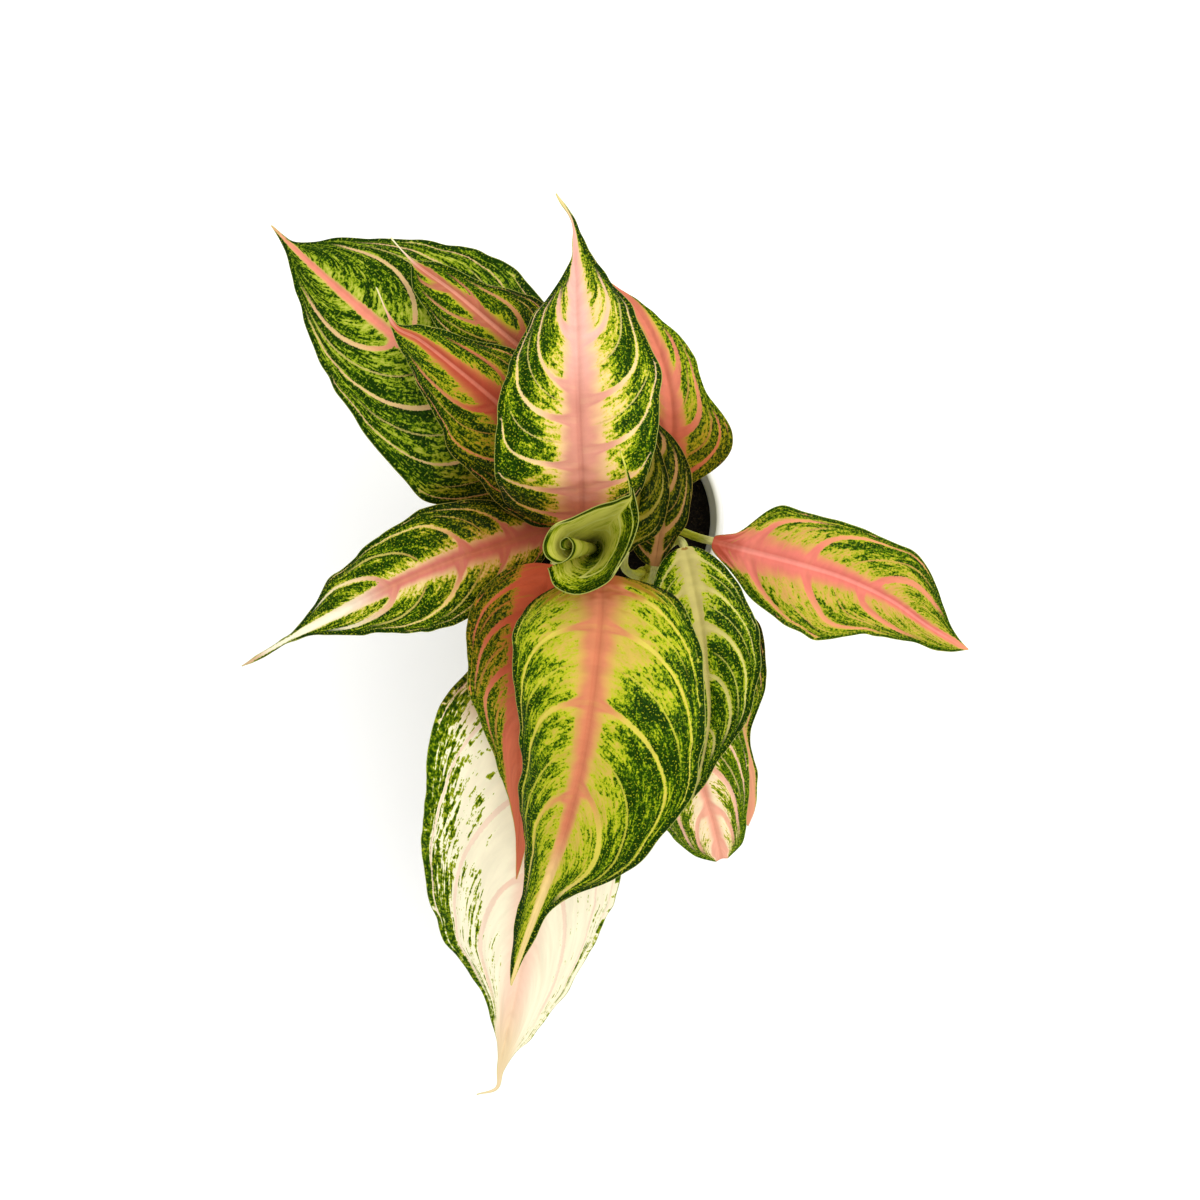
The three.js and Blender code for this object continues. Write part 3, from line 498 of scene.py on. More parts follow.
def ripple(values, s):
    """A wave (height, count, phase) along the leaf that dies away at its base and tip."""
    height, count, phase = values
    fading = np.sqrt(np.sin(np.pi * np.clip(s, 0, 1)))
    return height * fading * np.sin(2 * np.pi * (count * s + phase))


def sided(formula, leaf, fact, s, right):
    """A formula of s with the numbers of the leaf's right side or, elsewhere, of its left side."""
    return np.where(right, formula(leaf[fact + "_right"], s), formula(leaf[fact + "_left"], s))


print("halfway between 1, 2 and 4:", between((1, 2, 4), 0.5))

# %% [markdown]
# ## The blade as a surface
# A cross section leaves the rib at the fold angle and curls down along an arc.
# At share $a$ of the half width $w$, with fold $f$ and curl $c$ in radians:
#
# $out = w\,(\sin f - \sin(f - c a))/c$ and $rise = w\,(\cos(f - c a) - \cos f)/c$
#
# The frame's leaves use the same formula with fewer points, so the fine blade
# lies exactly in its node's place.

# %% The blade as a surface
def blade_surface(leaf, rows, columns):
    """Middle surface of a blade in millimetres, with each point's share of the length, share of
    the half width, side and half width, and the length of the rib."""
    place, tangent, length = along_curve(leaf["rib"], rows)
    level = unit(np.cross(tangent, UP))
    over = np.cross(level, tangent)
    bank = np.radians(between(leaf["bank"], rows))[:, None]
    side = level * np.cos(bank) - over * np.sin(bank)
    normal = over * np.cos(bank) + level * np.sin(bank)
    s, column = np.meshgrid(rows, columns, indexing="ij")
    a, right = np.abs(column), column > 0
    width = np.where(right, *[side_width(leaf, name, rows)[:, None] for name in ("right", "left")])
    curl, fold = np.radians(sided(between, leaf, "curl", s, right)), np.radians(FOLD)
    wave, ruffle = (sided(ripple, leaf, fact, s, right) for fact in ("wave", "ruffle"))
    out = (1 + a**2 * ruffle) * width * (np.sin(fold) - np.sin(fold - curl * a)) / curl
    rise = width * (np.cos(fold - curl * a) - np.cos(fold)) / curl + a**2 * wave
    surface = (place[:, None] + (np.sign(column) * out)[..., None] * side[:, None]
               + rise[..., None] * normal[:, None])
    return surface, s, a, right, width, length


coarse_grid = blade_surface(LEAVES["leaf_right"], np.linspace(0, 1, 5), np.linspace(-1, 1, 5))[0]
print("highest point of the right leaf:", round(coarse_grid[..., 2].max()), "mm above the floor")

# %% [markdown]
# ## Directions and distances on a grid
# Relief is laid on along the normal, and veins need distances in real
# millimetres. Both follow from the differences between neighbouring points, so
# they hold on any grid: normals from a cross product, and the spacing of a
# field's level lines from its slope on the surface.

# %% Directions and distances on a grid
def grid_normals(surface):
    """Unit normals of a grid of points, on the side that looks along columns x rows."""
    return unit(np.cross(np.gradient(surface, axis=1), np.gradient(surface, axis=0)))


def spacing_of(field, surface):
    """Millimetres per unit of a field, measured across its level lines on the surface."""
    du, dv = np.gradient(surface, axis=1), np.gradient(surface, axis=0)
    fu, fv = np.gradient(field, axis=1), np.gradient(field, axis=0)
    e, f, g = (du * du).sum(2), (du * dv).sum(2), (dv * dv).sum(2)
    square = (g * fu**2 - 2 * f * fu * fv + e * fv**2) / np.maximum(e * g - f**2, 1e-12)
    return 1 / np.sqrt(np.maximum(square, 1e-8))


print("its middle faces", grid_normals(coarse_grid)[2, 2].round(2))

# %% [markdown]
# ## Where the side veins run
# A side vein leaves the rib at share $s_0$ and sweeps towards the tip, so that
# $s = s_0 - \lambda(s_0) \ln(1 - (a/a_m)^p)$. Each vein could be drawn as its own
# line, but the pattern of the leaf follows all of them. Solved backwards, the
# formula gives every point the place where its own vein would leave the rib, and
# counting the main veins up to there gives a field that is whole on each vein.

# %% Where the side veins run
VEIN_REACH, VEIN_END = 0.95, 0.985
FIRST_ORIGIN = -2.5
HALVINGS = 26


def vein_origins(s, a, veins, steep):
    """The share of the rib that each point's own vein leaves, by halving an interval."""
    starts, sweeps = veins.T[:2]
    bend = -np.log(1 - np.minimum(a / VEIN_REACH, VEIN_END)**steep)
    low, high = np.full(s.shape, FIRST_ORIGIN), s.copy()
    for _ in range(HALVINGS):
        middle = (low + high) / 2
        short = middle + np.interp(middle, starts, sweeps) * bend < s
        low, high = np.where(short, middle, low), np.where(short, high, middle)
    return high


def vein_count(origin, veins):
    """How many main side veins leave the rib before this origin, with shares between them."""
    starts = veins[:, 0]
    last = len(starts) - 1
    count = np.interp(origin, starts, np.arange(last + 1))
    before = (origin - starts[0]) / (starts[1] - starts[0])
    after = last + (origin - starts[last]) / (starts[last] - starts[last - 1])
    return np.where(origin < starts[0], before, np.where(origin > starts[last], after, count))


example = vein_origins(np.array([0.5]), np.array([0.8]), LEAVES["leaf_right"]["veins_left"], 2.0)
print("a point at 0.5 near the margin lies on a vein that leaves the rib at", example.round(2)[0])

# %% [markdown]
# ## Closed sheets
# A real blade has two faces and a thin rim. A Solidify modifier could give it
# thickness, but here it varies, with thin margins and a keel under the rib, so a
# front and a back grid are both worked out and joined round the rim. That leaves
# no open edge.

# %% Closed sheets
def sheet_faces(rows, columns):
    """Quads of a front grid, its back grid and the rim between them."""
    index = np.arange(rows * columns).reshape(rows, columns)
    a, b = index[:-1, :-1].ravel(), index[:-1, 1:].ravel()
    d, c = index[1:, :-1].ravel(), index[1:, 1:].ravel()
    under = rows * columns
    rim = np.r_[index[0, :-1], index[:-1, -1], index[-1, :0:-1], index[:0:-1, 0]]
    after = np.roll(rim, -1)
    return np.concatenate([
        np.stack([a, b, c, d], 1),
        np.stack([a, d, c, b], 1) + under,
        np.stack([after, rim, rim + under, after + under], 1),
    ])


print("a sheet of 3 by 3 points has", len(sheet_faces(3, 3)), "faces")

# %% [markdown]
# ## Meshes from arrays
# Blender takes whole arrays with foreach_set, which is much faster than adding
# points one by one. Each point also carries numbers for the paint, such as its
# distance from the nearest vein, as attributes, and two maps of places. A blade
# says them for one face only, and the sheet gives them to both.

# %% Meshes from arrays
SHARP_ANGLE = np.radians(60)


def in_scene(name, data):
    """A new object with this data, linked to the scene at its origin."""
    thing = bpy.data.objects.new(name, data)
    bpy.context.scene.collection.objects.link(thing)
    return thing


def mesh_object(name, points, faces, fields=None, maps=None, more_faces=None, smooth=True):
    """A mesh with its point attributes and UV maps, from points in millimetres."""
    groups = [np.asarray(part) for part in (faces, more_faces) if part is not None]
    corners = np.concatenate([part.ravel() for part in groups])
    sizes = np.concatenate([np.full(len(part), part.shape[1]) for part in groups])
    mesh = bpy.data.meshes.new(name)
    mesh.vertices.add(len(points))
    mesh.vertices.foreach_set("co", (np.asarray(points, np.float32) * MM).ravel())
    mesh.loops.add(len(corners))
    mesh.loops.foreach_set("vertex_index", corners.astype(np.int32))
    mesh.polygons.add(len(sizes))
    mesh.polygons.foreach_set("loop_start", (np.cumsum(sizes) - sizes).astype(np.int32))
    mesh.update(calc_edges=True)
    mesh.polygons.foreach_set("use_smooth", np.full(len(sizes), smooth))
    for key, values in (fields or {}).items():
        layer = mesh.attributes.new(key, "FLOAT", "POINT")
        layer.data.foreach_set("value", np.asarray(values, np.float32).ravel())
    for key, values in (maps or {}).items():
        layer = mesh.uv_layers.new(name=key)
        layer.data.foreach_set("uv", np.asarray(values, np.float32)[corners].ravel())
    mesh.validate()
    if smooth:
        mesh.set_sharp_from_angle(angle=SHARP_ANGLE)
    return in_scene(name, mesh)


def sheet_piece(name, surface, normal, front, back, fields, maps, under):
    """A closed sheet between two heights over a surface, with fields and maps on both faces."""
    points = np.concatenate(
        [(surface + normal * height).reshape(-1, 3) for height in (front, back)])
    fields = {key: np.tile(value.ravel(), 2) for key, value in fields.items()}
    fields["under"] = np.repeat([0.0, under], len(points) // 2)
    maps = {key: np.tile(place.reshape(-1, 2), (2, 1)) for key, place in maps.items()}
    return mesh_object(name, points, sheet_faces(*surface.shape[:2]), fields, maps)


# %% [markdown]
# ## Writing materials as formulas
# A material is a graph of nodes. Placed by hand it is hard to read in a script,
# so each method below adds one node, links what it is given, and hands back the
# output. A material then reads like a formula, from the inside out.

# %% Node helpers
NOISE_GAIN = 3.0


class Nodes:
    """Writes nodes into one tree and links their inputs."""

    def __init__(self, tree):
        self.tree = tree

    def add(self, kind, settings=None, **inputs):
        """A node of a kind, with its settings and its inputs by name."""
        node = self.tree.nodes.new(kind)
        for key, value in (settings or {}).items():
            setattr(node, key, value)
        for key, value in inputs.items():
            self.set(node.inputs[key], value)
        return node

    def set(self, socket, value):
        """Links another node's output to a socket, or gives it a plain value."""
        if isinstance(value, bpy.types.NodeSocket):
            self.tree.links.new(value, socket)
        else:
            socket.default_value = value

    def math(self, operation, *values):
        """One operation on one to three values."""
        node = self.add("ShaderNodeMath", {"operation": operation})
        for socket, value in zip(node.inputs, values):
            self.set(socket, value)
        return node.outputs[0]

    def times(self, value, *factors):
        """The value multiplied by each factor in turn."""
        for factor in factors:
            value = self.math("MULTIPLY", value, factor)
        return value

    def scaled(self, value, factor, shift):
        """The value times a factor, plus a shift."""
        return self.math("MULTIPLY_ADD", value, factor, shift)

    def smooth(self, value, low, high, start=0.0, end=1.0):
        """A soft step from start, where the value is low, to end, where it is high."""
        node = self.add("ShaderNodeMapRange", {"interpolation_type": "SMOOTHSTEP"})
        for key, number in (("Value", value), ("From Min", low), ("From Max", high),
                            ("To Min", start), ("To Max", end)):
            self.set(node.inputs[key], number)
        return node.outputs["Result"]

    def mix(self, share, first, second, blend="MIX"):
        """A share of the second colour over the first; the node takes them as inputs 6 and 7."""
        node = self.add("ShaderNodeMix", {"data_type": "RGBA", "blend_type": blend})
        for place, value in ((0, share), (6, colour(first)), (7, colour(second))):
            self.set(node.inputs[place], value)
        return node.outputs[2]

    def tone(self, paint, value):
        """The colour made darker or lighter by a factor."""
        return self.mix(1.0, paint, value, "MULTIPLY")

    def attribute(self, name):
        """A number stored on the mesh."""
        return self.add("ShaderNodeAttribute", {"attribute_name": name}).outputs["Fac"]

    def noise(self, vector, scale=1.0, detail=2.0, roughness=0.5):
        """Clouds between 0 and 1, `scale` of them to a unit."""
        node = self.add("ShaderNodeTexNoise", Vector=vector, Scale=scale, Detail=detail,
                        Roughness=roughness)
        return node.outputs["Fac"]

    def stretched(self, source, scale, detail=2.0, roughness=0.5, shift=(0, 0, 0)):
        """Noise on a map that is scaled in x and y, and shifted."""
        place = self.add("ShaderNodeMapping", Vector=source, Scale=(*scale, 1), Location=shift)
        return self.noise(place.outputs["Vector"], 1.0, detail, roughness)

    def centred(self, value):
        """Noise about zero: most of it lies between -0.6 and 0.6."""
        return self.scaled(value, NOISE_GAIN, -NOISE_GAIN / 2)

    def uv(self, name):
        """A map of places stored on the mesh."""
        return self.add("ShaderNodeUVMap", {"uv_map": name}).outputs["UV"]


print("steps of a formula:", [name for name in vars(Nodes) if not name.startswith("_")])

# %% [markdown]
# ## New materials
# Every material starts from the Principled shader. What is the same all over a
# surface, such as its specular level, is set on the shader itself; what changes is
# linked to it. Fine relief comes from a bump, which tilts the normals and leaves
# the mesh alone.

# %% New materials
def colour(value):
    """A colour with its alpha, or the socket it came as."""
    return value if isinstance(value, bpy.types.NodeSocket) else (*value[:3], 1.0)


def new_material(name):
    """An empty node material and its Principled shader."""
    material = bpy.data.materials.new(name)
    material.use_nodes = True
    nodes = Nodes(material.node_tree)
    shader = material.node_tree.nodes["Principled BSDF"]
    return material, nodes, shader


def dress(n, shader, paint, roughness, bump, specular=0.5):
    """Feeds the shader a colour, a roughness, a specular level, and a bump given as its height,
    its strength and its depth in metres."""
    height, strength, depth = bump
    relief = n.add("ShaderNodeBump", Strength=strength, Distance=depth, Height=height)
    for key, value in (("Base Color", paint), ("Roughness", roughness),
                       ("Normal", relief.outputs["Normal"]), ("Specular IOR Level", specular)):
        n.set(shader.inputs[key], value)


print("ivory with its alpha:", colour(IVORY))

# %% [markdown]
# ## What the leaf paint is given
# One node group paints every blade, because all share the way their pattern
# grows. A leaf gives it its own tints and a few strengths: the green band along
# the margin, streaks along the veins, speckles, the darkest green, how far the
# shade reaches and where the blush fades into the tint of the tip, which may end
# in another one. The seed shifts the noise.

# %% Inputs of the leaf paint
PAINT_INPUTS = {
    "Ground": CREAM, "Outer": LIME, "Lime": LIME, "Blush": PINK, "Rib": PINK,
    "Vein": VEIN_YELLOW, "Tip": CREAM, "End": CREAM, "Band": 4.0, "Streak": 1.0, "Speckle": 1.0,
    "Deepest": 2.0, "Dusk": 0.3, "Fade": 0.9, "Seed": 0.0,
}


def add_sockets(group):
    """The named inputs and outputs of the leaf paint."""
    for name, value in PAINT_INPUTS.items():
        kind = "NodeSocketFloat" if isinstance(value, float) else "NodeSocketColor"
        socket = group.interface.new_socket(name, in_out="INPUT", socket_type=kind)
        socket.default_value = value if isinstance(value, float) else colour(value)
    for name, kind in (("Color", "Color"), ("Roughness", "Float"), ("Height", "Float")):
        group.interface.new_socket(name, in_out="OUTPUT", socket_type="NodeSocket" + kind)


print("inputs of the leaf paint:", len(PAINT_INPUTS))

# %% [markdown]
# ## Uneven growth
# Green gathers in clouds several millimetres wide, drawn out along the veins, and
# breaks into speckles under a millimetre. Noise in four sizes gives that. The
# two large ones read the map that flows along the veins, the two small ones the
# flat map, so that speckles stay round.

# %% Noise in four sizes
GROWTH = {
    "clouds": ("flow", (0.06, 0.13), 2.0, 0.5), "streaks": ("flow", (0.2, 0.6), 2.0, 0.55),
    "speckles": ("blade", (0.85, 0.65), 1.5, 0.6), "grain": ("blade", (1.9, 1.5), 1.0, 0.5),
}


def growth_noise(n, seed):
    """Noise about zero in four sizes, and the maps and the shift that it is read with."""
    noise = {"shift": n.add("ShaderNodeCombineXYZ", X=seed, Y=seed).outputs[0],
             "flow": n.uv("flow"), "blade": n.uv("blade")}
    for name, (source, scale, detail, roughness) in GROWTH.items():
        noise[name] = n.centred(
            n.stretched(noise[source], scale, detail, roughness, noise["shift"]))
    return noise


print("cloud length along a vein: about", round(1 / GROWTH["clouds"][1][0]), "mm")

# %% [markdown]
# ## Veins as masks
# Main veins are pale lines a millimetre or two wide, widest at the rib, with
# ragged edges; thinner ones run halfway between them. The count of veins is whole
# on each main vein, so a ping-pong of it times the spacing gives the distance to
# the nearest one in millimetres, and a soft step turns that into a line. A wedge
# beside each main vein stays clear of green near the rib.

# %% Masks of the veins
WEDGE_WIDTH, WEDGE_END = 3.5, 1.3


def vein_masks(n, noise, across, rib):
    """Masks of the main veins, of the fine ones, and of the clear wedge beside a main vein."""
    vein, pitch, weight, fine = (n.attribute(key) for key in ("vein", "pitch", "weight", "fine"))
    ragged = n.scaled(noise["grain"], 0.3, n.times(noise["speckles"], 0.25))
    to_vein = n.times(n.math("PINGPONG", vein, 0.5), pitch)
    to_fine = n.times(n.math("PINGPONG", n.math("ADD", vein, 0.5), 0.5), pitch)
    present = n.smooth(weight, 0.1, 0.5)
    wedge = n.scaled(n.math("POWER", 0.91, rib), WEDGE_WIDTH, WEDGE_END)
    wedge = n.math("MAXIMUM", n.math("MINIMUM", wedge, n.times(pitch, 0.33)), 0.6)
    beside = n.times(n.smooth(to_vein, wedge, 0.4), present, n.smooth(pitch, 2.0, 14.0))
    width = n.times(weight, n.smooth(across, 0.3, 0.94, 1.0, 0.25))
    edge = n.math("ADD", to_vein, ragged)
    main = n.smooth(edge, n.math("ADD", width, 0.25), n.math("SUBTRACT", width, 0.25))
    main = n.times(main, n.smooth(across, 0.975, 0.93), present, n.smooth(pitch, 2.5, 5.0))
    edge = n.math("ADD", to_fine, ragged)
    thin = n.smooth(edge, n.math("ADD", fine, 0.25), n.math("SUBTRACT", fine, 0.15))
    thin = n.times(thin, n.smooth(fine, 0.05, 0.2), n.smooth(across, 0.1, 0.3),
                   n.smooth(across, 0.86, 0.74), n.smooth(pitch, 5.0, 10.0))
    return dict(beside=beside, main=main, fine=thin)


print("the wedge is", WEDGE_WIDTH + WEDGE_END, "mm wide at the rib and", WEDGE_END, "mm far out")

# %% [markdown]
# ## How green a point is
# The green could be painted in patches, but on the plant it has a rule: more
# towards the margin, less beside the veins and the rib, and the rest is chance. So
# it is one number, the sum of those parts, and each shade of green is a level of it.

# %% The amount of green
def green_amount(n, given, noise, veins, rib, edge):
    """The amount of green, the same with speckles, and the share of the blush's reach."""
    cluster = n.scaled(given["Streak"], 0.25, 0.45)
    amount = n.scaled(noise["clouds"], cluster, n.attribute("green"))
    amount = n.math("ADD", amount, n.times(noise["streaks"], given["Streak"], 0.6))
    amount = n.math("SUBTRACT", amount, n.times(veins["beside"], 0.7))
    band = n.smooth(edge, given["Band"], n.times(given["Band"], 0.4))
    amount = n.math("ADD", amount, n.times(band, 0.7))
    reach = n.math("ADD", n.attribute("blush"), rib)
    inside = n.scaled(noise["clouds"], -0.35, n.math("DIVIDE", rib, reach))
    amount = n.math("SUBTRACT", amount, n.smooth(inside, 1.4, 0.6, 0.0, 1.4))
    amount = n.math("MINIMUM", amount, given["Deepest"])
    dots = n.scaled(noise["grain"], 0.3, n.times(noise["speckles"], 0.65))
    dots = n.times(dots, n.smooth(amount, -0.5, 0.25, 0.35, 1.0))
    return amount, n.scaled(dots, given["Speckle"], amount), inside


GREEN_LEVELS = [
    ((-0.02, 0.22), LEAF_GREEN), ((0.18, 0.34), MID_GREEN), ((0.32, 0.48), DARK_GREEN),
    ((0.5, 0.85), DEEP_GREEN),
]
print("levels of green:", [levels for levels, _ in GREEN_LEVELS])

# %% [markdown]
# ## Blush, ground and green
# Pink lies along the rib and runs out along the feet of the side veins. Beside it
# the ground is cream or yellow, then lime, then the greens, level over level, with
# small pale dots in the darkest. Mixing them in that order, from the ground up,
# keeps each border soft and speckled as on the leaf.

# %% Ground, blush and greens
def ground_and_greens(n, given, noise, veins, green, rosy):
    """The blade's colour without its veins."""
    amount, speckled, inside = green
    foot = n.times(veins["beside"], n.smooth(inside, 5.0, 1.0))
    blush = n.smooth(n.scaled(foot, -1.3, inside), 1.7, 0.4)
    outward = n.smooth(n.scaled(noise["speckles"], 0.3, amount), -0.6, 0.05)
    paint = n.mix(outward, given["Ground"], given["Outer"])
    paint = n.mix(n.times(blush, n.smooth(speckled, 0.5, 0.0, 0.5, 1.0)), paint, rosy)
    paint = n.mix(n.smooth(speckled, -0.2, 0.02), paint, given["Lime"])
    for (low, high), shade in GREEN_LEVELS:
        paint = n.mix(n.smooth(speckled, low, high), paint, shade)
    dots = n.stretched(noise["blade"], (1.15, 1.05), 0.0, 0.5, noise["shift"])
    dots = n.times(n.smooth(dots, 0.62, 0.70), n.smooth(speckled, 0.3, 0.6, 0.0, 0.55))
    return n.mix(dots, paint, given["Lime"])


print("from the ground up: ground, blush, lime,", len(GREEN_LEVELS), "greens, pale dots")

# %% [markdown]
# ## The whole leaf paint
# Over the patches come the veins, the rib, a pale line at the very margin, faint tone lines along
# the veins, and the shade near the base, painted into the colour. The group puts out a colour, a
# roughness and a height, and the shader stays outside it, because the export can read it only
# there.

# %% The leaf paint group
VEIN_SHARE, FINE_SHARE, RIB_SHARE = 0.85, 0.75, 0.6
EDGE_LINE = (0.50, 0.52, 0.12)
UNDERSIDE = (0.30, 0.33, 0.09)


def veins_and_rib(n, given, paint, veins, rib, along, faded, rosy):
    """The paint with its veins, pink near the rib and pale further out, and with the rib."""
    pink = n.smooth(n.attribute("blush"), -16.0, -3.0, 0.0, 0.9)
    line = n.mix(pink, given["Vein"], rosy)
    paint = n.mix(n.times(veins["main"], VEIN_SHARE), paint, line)
    paint = n.mix(n.times(veins["fine"], FINE_SHARE), paint, n.mix(0.5, line, given["Lime"]))
    width = n.smooth(along, 0.1, 0.9, 1.9, 0.8)
    mask = n.times(n.smooth(rib, width, n.times(width, 0.4)), RIB_SHARE)
    return n.mix(mask, paint, n.mix(faded, given["Rib"], given["Tip"]))


def leaf_paint_group():
    """Colour, roughness and height of a variegated blade."""
    group = bpy.data.node_groups.new("leaf paint", "ShaderNodeTree")
    add_sockets(group)
    n = Nodes(group)
    given = group.nodes.new("NodeGroupInput").outputs
    result = group.nodes.new("NodeGroupOutput")
    edge, rib, across, along = (n.attribute(key) for key in ("edge", "rib", "across", "along"))
    noise = growth_noise(n, given["Seed"])
    veins = vein_masks(n, noise, across, rib)
    green = green_amount(n, given, noise, veins, rib, edge)
    fade = given["Fade"]
    faded = n.smooth(along, n.math("SUBTRACT", fade, 0.1), n.math("ADD", fade, 0.1))
    given = {name: given[name] for name in PAINT_INPUTS}
    given["Tip"] = n.mix(n.smooth(along, 0.86, 0.96), given["Tip"], given["End"])
    rosy = n.mix(faded, given["Blush"], given["Tip"])
    paint = ground_and_greens(n, given, noise, veins, green, rosy)
    paint = veins_and_rib(n, given, paint, veins, rib, along, faded, rosy)
    paint = n.mix(n.smooth(edge, 0.5, 0.25, 0.0, 0.6), paint, EDGE_LINE)
    lines = n.stretched(noise["flow"], (0.08, 0.18), 2.0, 0.6, noise["shift"])
    paint = n.tone(paint, n.smooth(lines, 0.3, 0.7, 0.92, 1.03))
    # Painted shade: near the base, up to the share of the rib that Dusk gives, the colour is
    # multiplied by the shade tone, darker and warmer, for the shade of the leaves above it.
    uneven = n.scaled(noise["clouds"], 0.05, along)
    shaded = n.smooth(uneven, given["Dusk"], n.times(given["Dusk"], 0.3))
    paint = n.tone(paint, n.mix(shaded, (1.0, 1.0, 1.0), PAINTED_SHADE_TONE))
    paint = n.mix(n.times(n.attribute("under"), 0.5), paint, UNDERSIDE)
    n.set(result.inputs["Color"], paint)
    n.set(result.inputs["Roughness"], n.scaled(noise["streaks"], 0.06, 0.5))
    n.set(result.inputs["Height"], n.scaled(lines, 0.5, n.times(noise["speckles"], 0.12)))
    return group


paint_group = leaf_paint_group()
print("nodes in the leaf paint:", len(paint_group.nodes))

# %% [markdown]
# ## A leaf's material
# A leaf's skin is satin: a broad, weak gloss over fine cells. The group gives the
# colour and the unevenness, and the material only adds its own tints, a low
# specular level and a shallow bump.

# %% A leaf's material
def leaf_material(name, group, paint, seed):
    """The blade's shader, fed by the leaf paint group."""
    material, n, shader = new_material(name)
    painted = n.add("ShaderNodeGroup", {"node_tree": group})
    tip = paint.get("tip", paint["vein"])
    spare = {"rib": paint["blush"], "tip": tip, "end": tip, "seed": seed}
    for key, plain in PAINT_INPUTS.items():
        value = {**spare, **paint}.get(key.lower(), plain)
        painted.inputs[key].default_value = colour(value) if isinstance(value, tuple) else value
    tint, roughness, height = painted.outputs
    dress(n, shader, tint, roughness, (height, 0.35, 0.0004), specular=0.03)
    return material


print("what the front leaf gives:", list(LEAVES["leaf_front"]["paint"]))

# %% [markdown]
# ## Numbers that the paint reads
# The paint knows a point only by the numbers stored on it: which vein it lies by
# and how far apart the veins are there, how green its strip is, and how far it is
# from the rib and the margin. They are worked out here for the whole grid at
# once, together with the map that flows along the veins.

# %% Numbers for the paint
GREEN_CAP = 0.6
LEAST_REACH = 0.4
THREAD_PALING, THREAD_START = 1.5, 0.05


def picked(values, place):
    """The value at each place number, with the first or the last one beyond the ends."""
    return values[np.clip(place.astype(int), 0, len(values) - 1)]


def side_fields(leaf, side, s, a, surface):
    """One side's veins, as if it filled the blade: a weight is the nearest vein's, a fine vein
    belongs to the strip between two veins, and a strip's green to half of it."""
    rows = leaf["veins" + side]
    origin = vein_origins(s, a, rows, leaf["steep" + side])
    vein = vein_count(origin, rows)
    return dict(
        origin=origin, vein=vein, pitch=spacing_of(vein, surface),
        weight=picked(rows[:, 2], np.rint(vein)), fine=picked(rows[:, 3], np.floor(vein)),
        strip=picked(rows[:, 4:].ravel(), np.floor(vein * 2)),
        start=between(leaf["green" + side], s), gain=np.full(s.shape, leaf["gain" + side]),
        reach=between(leaf["reach" + side], s))


def vein_fields(leaf, s, a, width, length, right, surface):
    """Attributes that place the side veins and the variegation on a blade."""
    on_left, on_right = (side_fields(leaf, side, s, a, surface) for side in ("_left", "_right"))
    here = {key: np.where(right, on_right[key], on_left[key]) for key in on_left}
    green = here["gain"] * (a - here["start"]) + here["strip"] * smoothstep(a, 0.05, 0.5)
    thread = smoothstep(s, leaf["thread"], leaf["thread"] + THREAD_START)
    fields = {
        "vein": here["vein"], "pitch": np.clip(here["pitch"], 0.2, 60),
        "green": np.minimum(green, GREEN_CAP) - THREAD_PALING * thread,
        "weight": here["weight"], "fine": here["fine"],
        "across": a, "along": s, "rib": a * width, "edge": (1 - a) * width,
        "blush": np.maximum(here["reach"], LEAST_REACH) - a * width,
    }
    flow = np.stack([a * width + 0.8 * length * (s - here["origin"]), here["origin"] * length], 2)
    return fields, flow


print("a strip's green stays under", GREEN_CAP, "and the blush reaches", LEAST_REACH, "mm or more")

# %% [markdown]
# ## Relief and margins
# The rib lies in a groove, the side veins are sunken, and the blade swells
# between them like a quilt; its margin waves a little. Bump alone would leave the
# outline flat, so all of it is real height, a few tenths of a millimetre to one,
# added to the surface along its normal.

# %% Relief and margins
QUILT_HEIGHT, GROOVE_DEPTH, SHOULDER_HEIGHT = 0.95, 0.9, 0.35
MARGIN_WAVES = ((34, 0.4), (21, 0.25), (12, 0.1))
NOTCH_WIDTH, NOTCH_START = 2.5, 0.8


def relief(fields, s, width):
    """Height over the middle surface in millimetres: dips along the veins and the rib, and a low
    shoulder on both sides of the rib, all fading at the ends and in narrow parts."""
    to_vein = np.abs(fields["vein"] - np.rint(fields["vein"])) * fields["pitch"]
    strength = np.clip(width / 14, 0, 1) * np.sin(np.pi * np.clip(s, 0, 1))**0.4
    inside = np.clip((1 - fields["across"]) * 6, 0, 1)
    veins = -QUILT_HEIGHT * np.exp(-(to_vein / 1.6)**2) * inside * np.clip(fields["rib"] / 5, 0, 1)
    groove = -GROOVE_DEPTH * np.exp(-(fields["rib"] / 1.5)**2)
    shoulder = SHOULDER_HEIGHT * np.exp(-((fields["rib"] - 3.6) / 1.8)**2)
    return (veins + groove + shoulder) * strength


def margin_ripple(s, a, length, random):
    """Small uneven waves of a margin, in millimetres: three sizes of wave, fading at both ends."""
    wave = np.zeros_like(s)
    for size, height in MARGIN_WAVES:
        count, phase = length / (size * random.uniform(0.85, 1.2)), random.uniform(0, 1)
        wave += height * np.sin(2 * np.pi * (s * count + phase))
    return wave * a**4 * np.sin(np.pi * np.clip(s, 0, 1))**0.5


def notched(surface, s, rib, depth):
    """The blade with its rib drawn back at the tip by `depth` millimetres, so it has a notch."""
    onward = unit(np.gradient(surface, axis=0))
    drawn_back = depth * np.exp(-(rib / NOTCH_WIDTH)**2) * smoothstep(s, NOTCH_START, 1)
    return surface - onward * drawn_back[..., None]


print("margin waves in millimetres, size and height:", MARGIN_WAVES)

# %% [markdown]
# ## The blades
# Each blade is a grid of shares along and across, closer together at the rib, the
# margin and both ends, where the form changes fastest. The front and the back are
# that surface moved out by half its thickness, which is less at the margin, and
# the back also carries the keel under the rib.

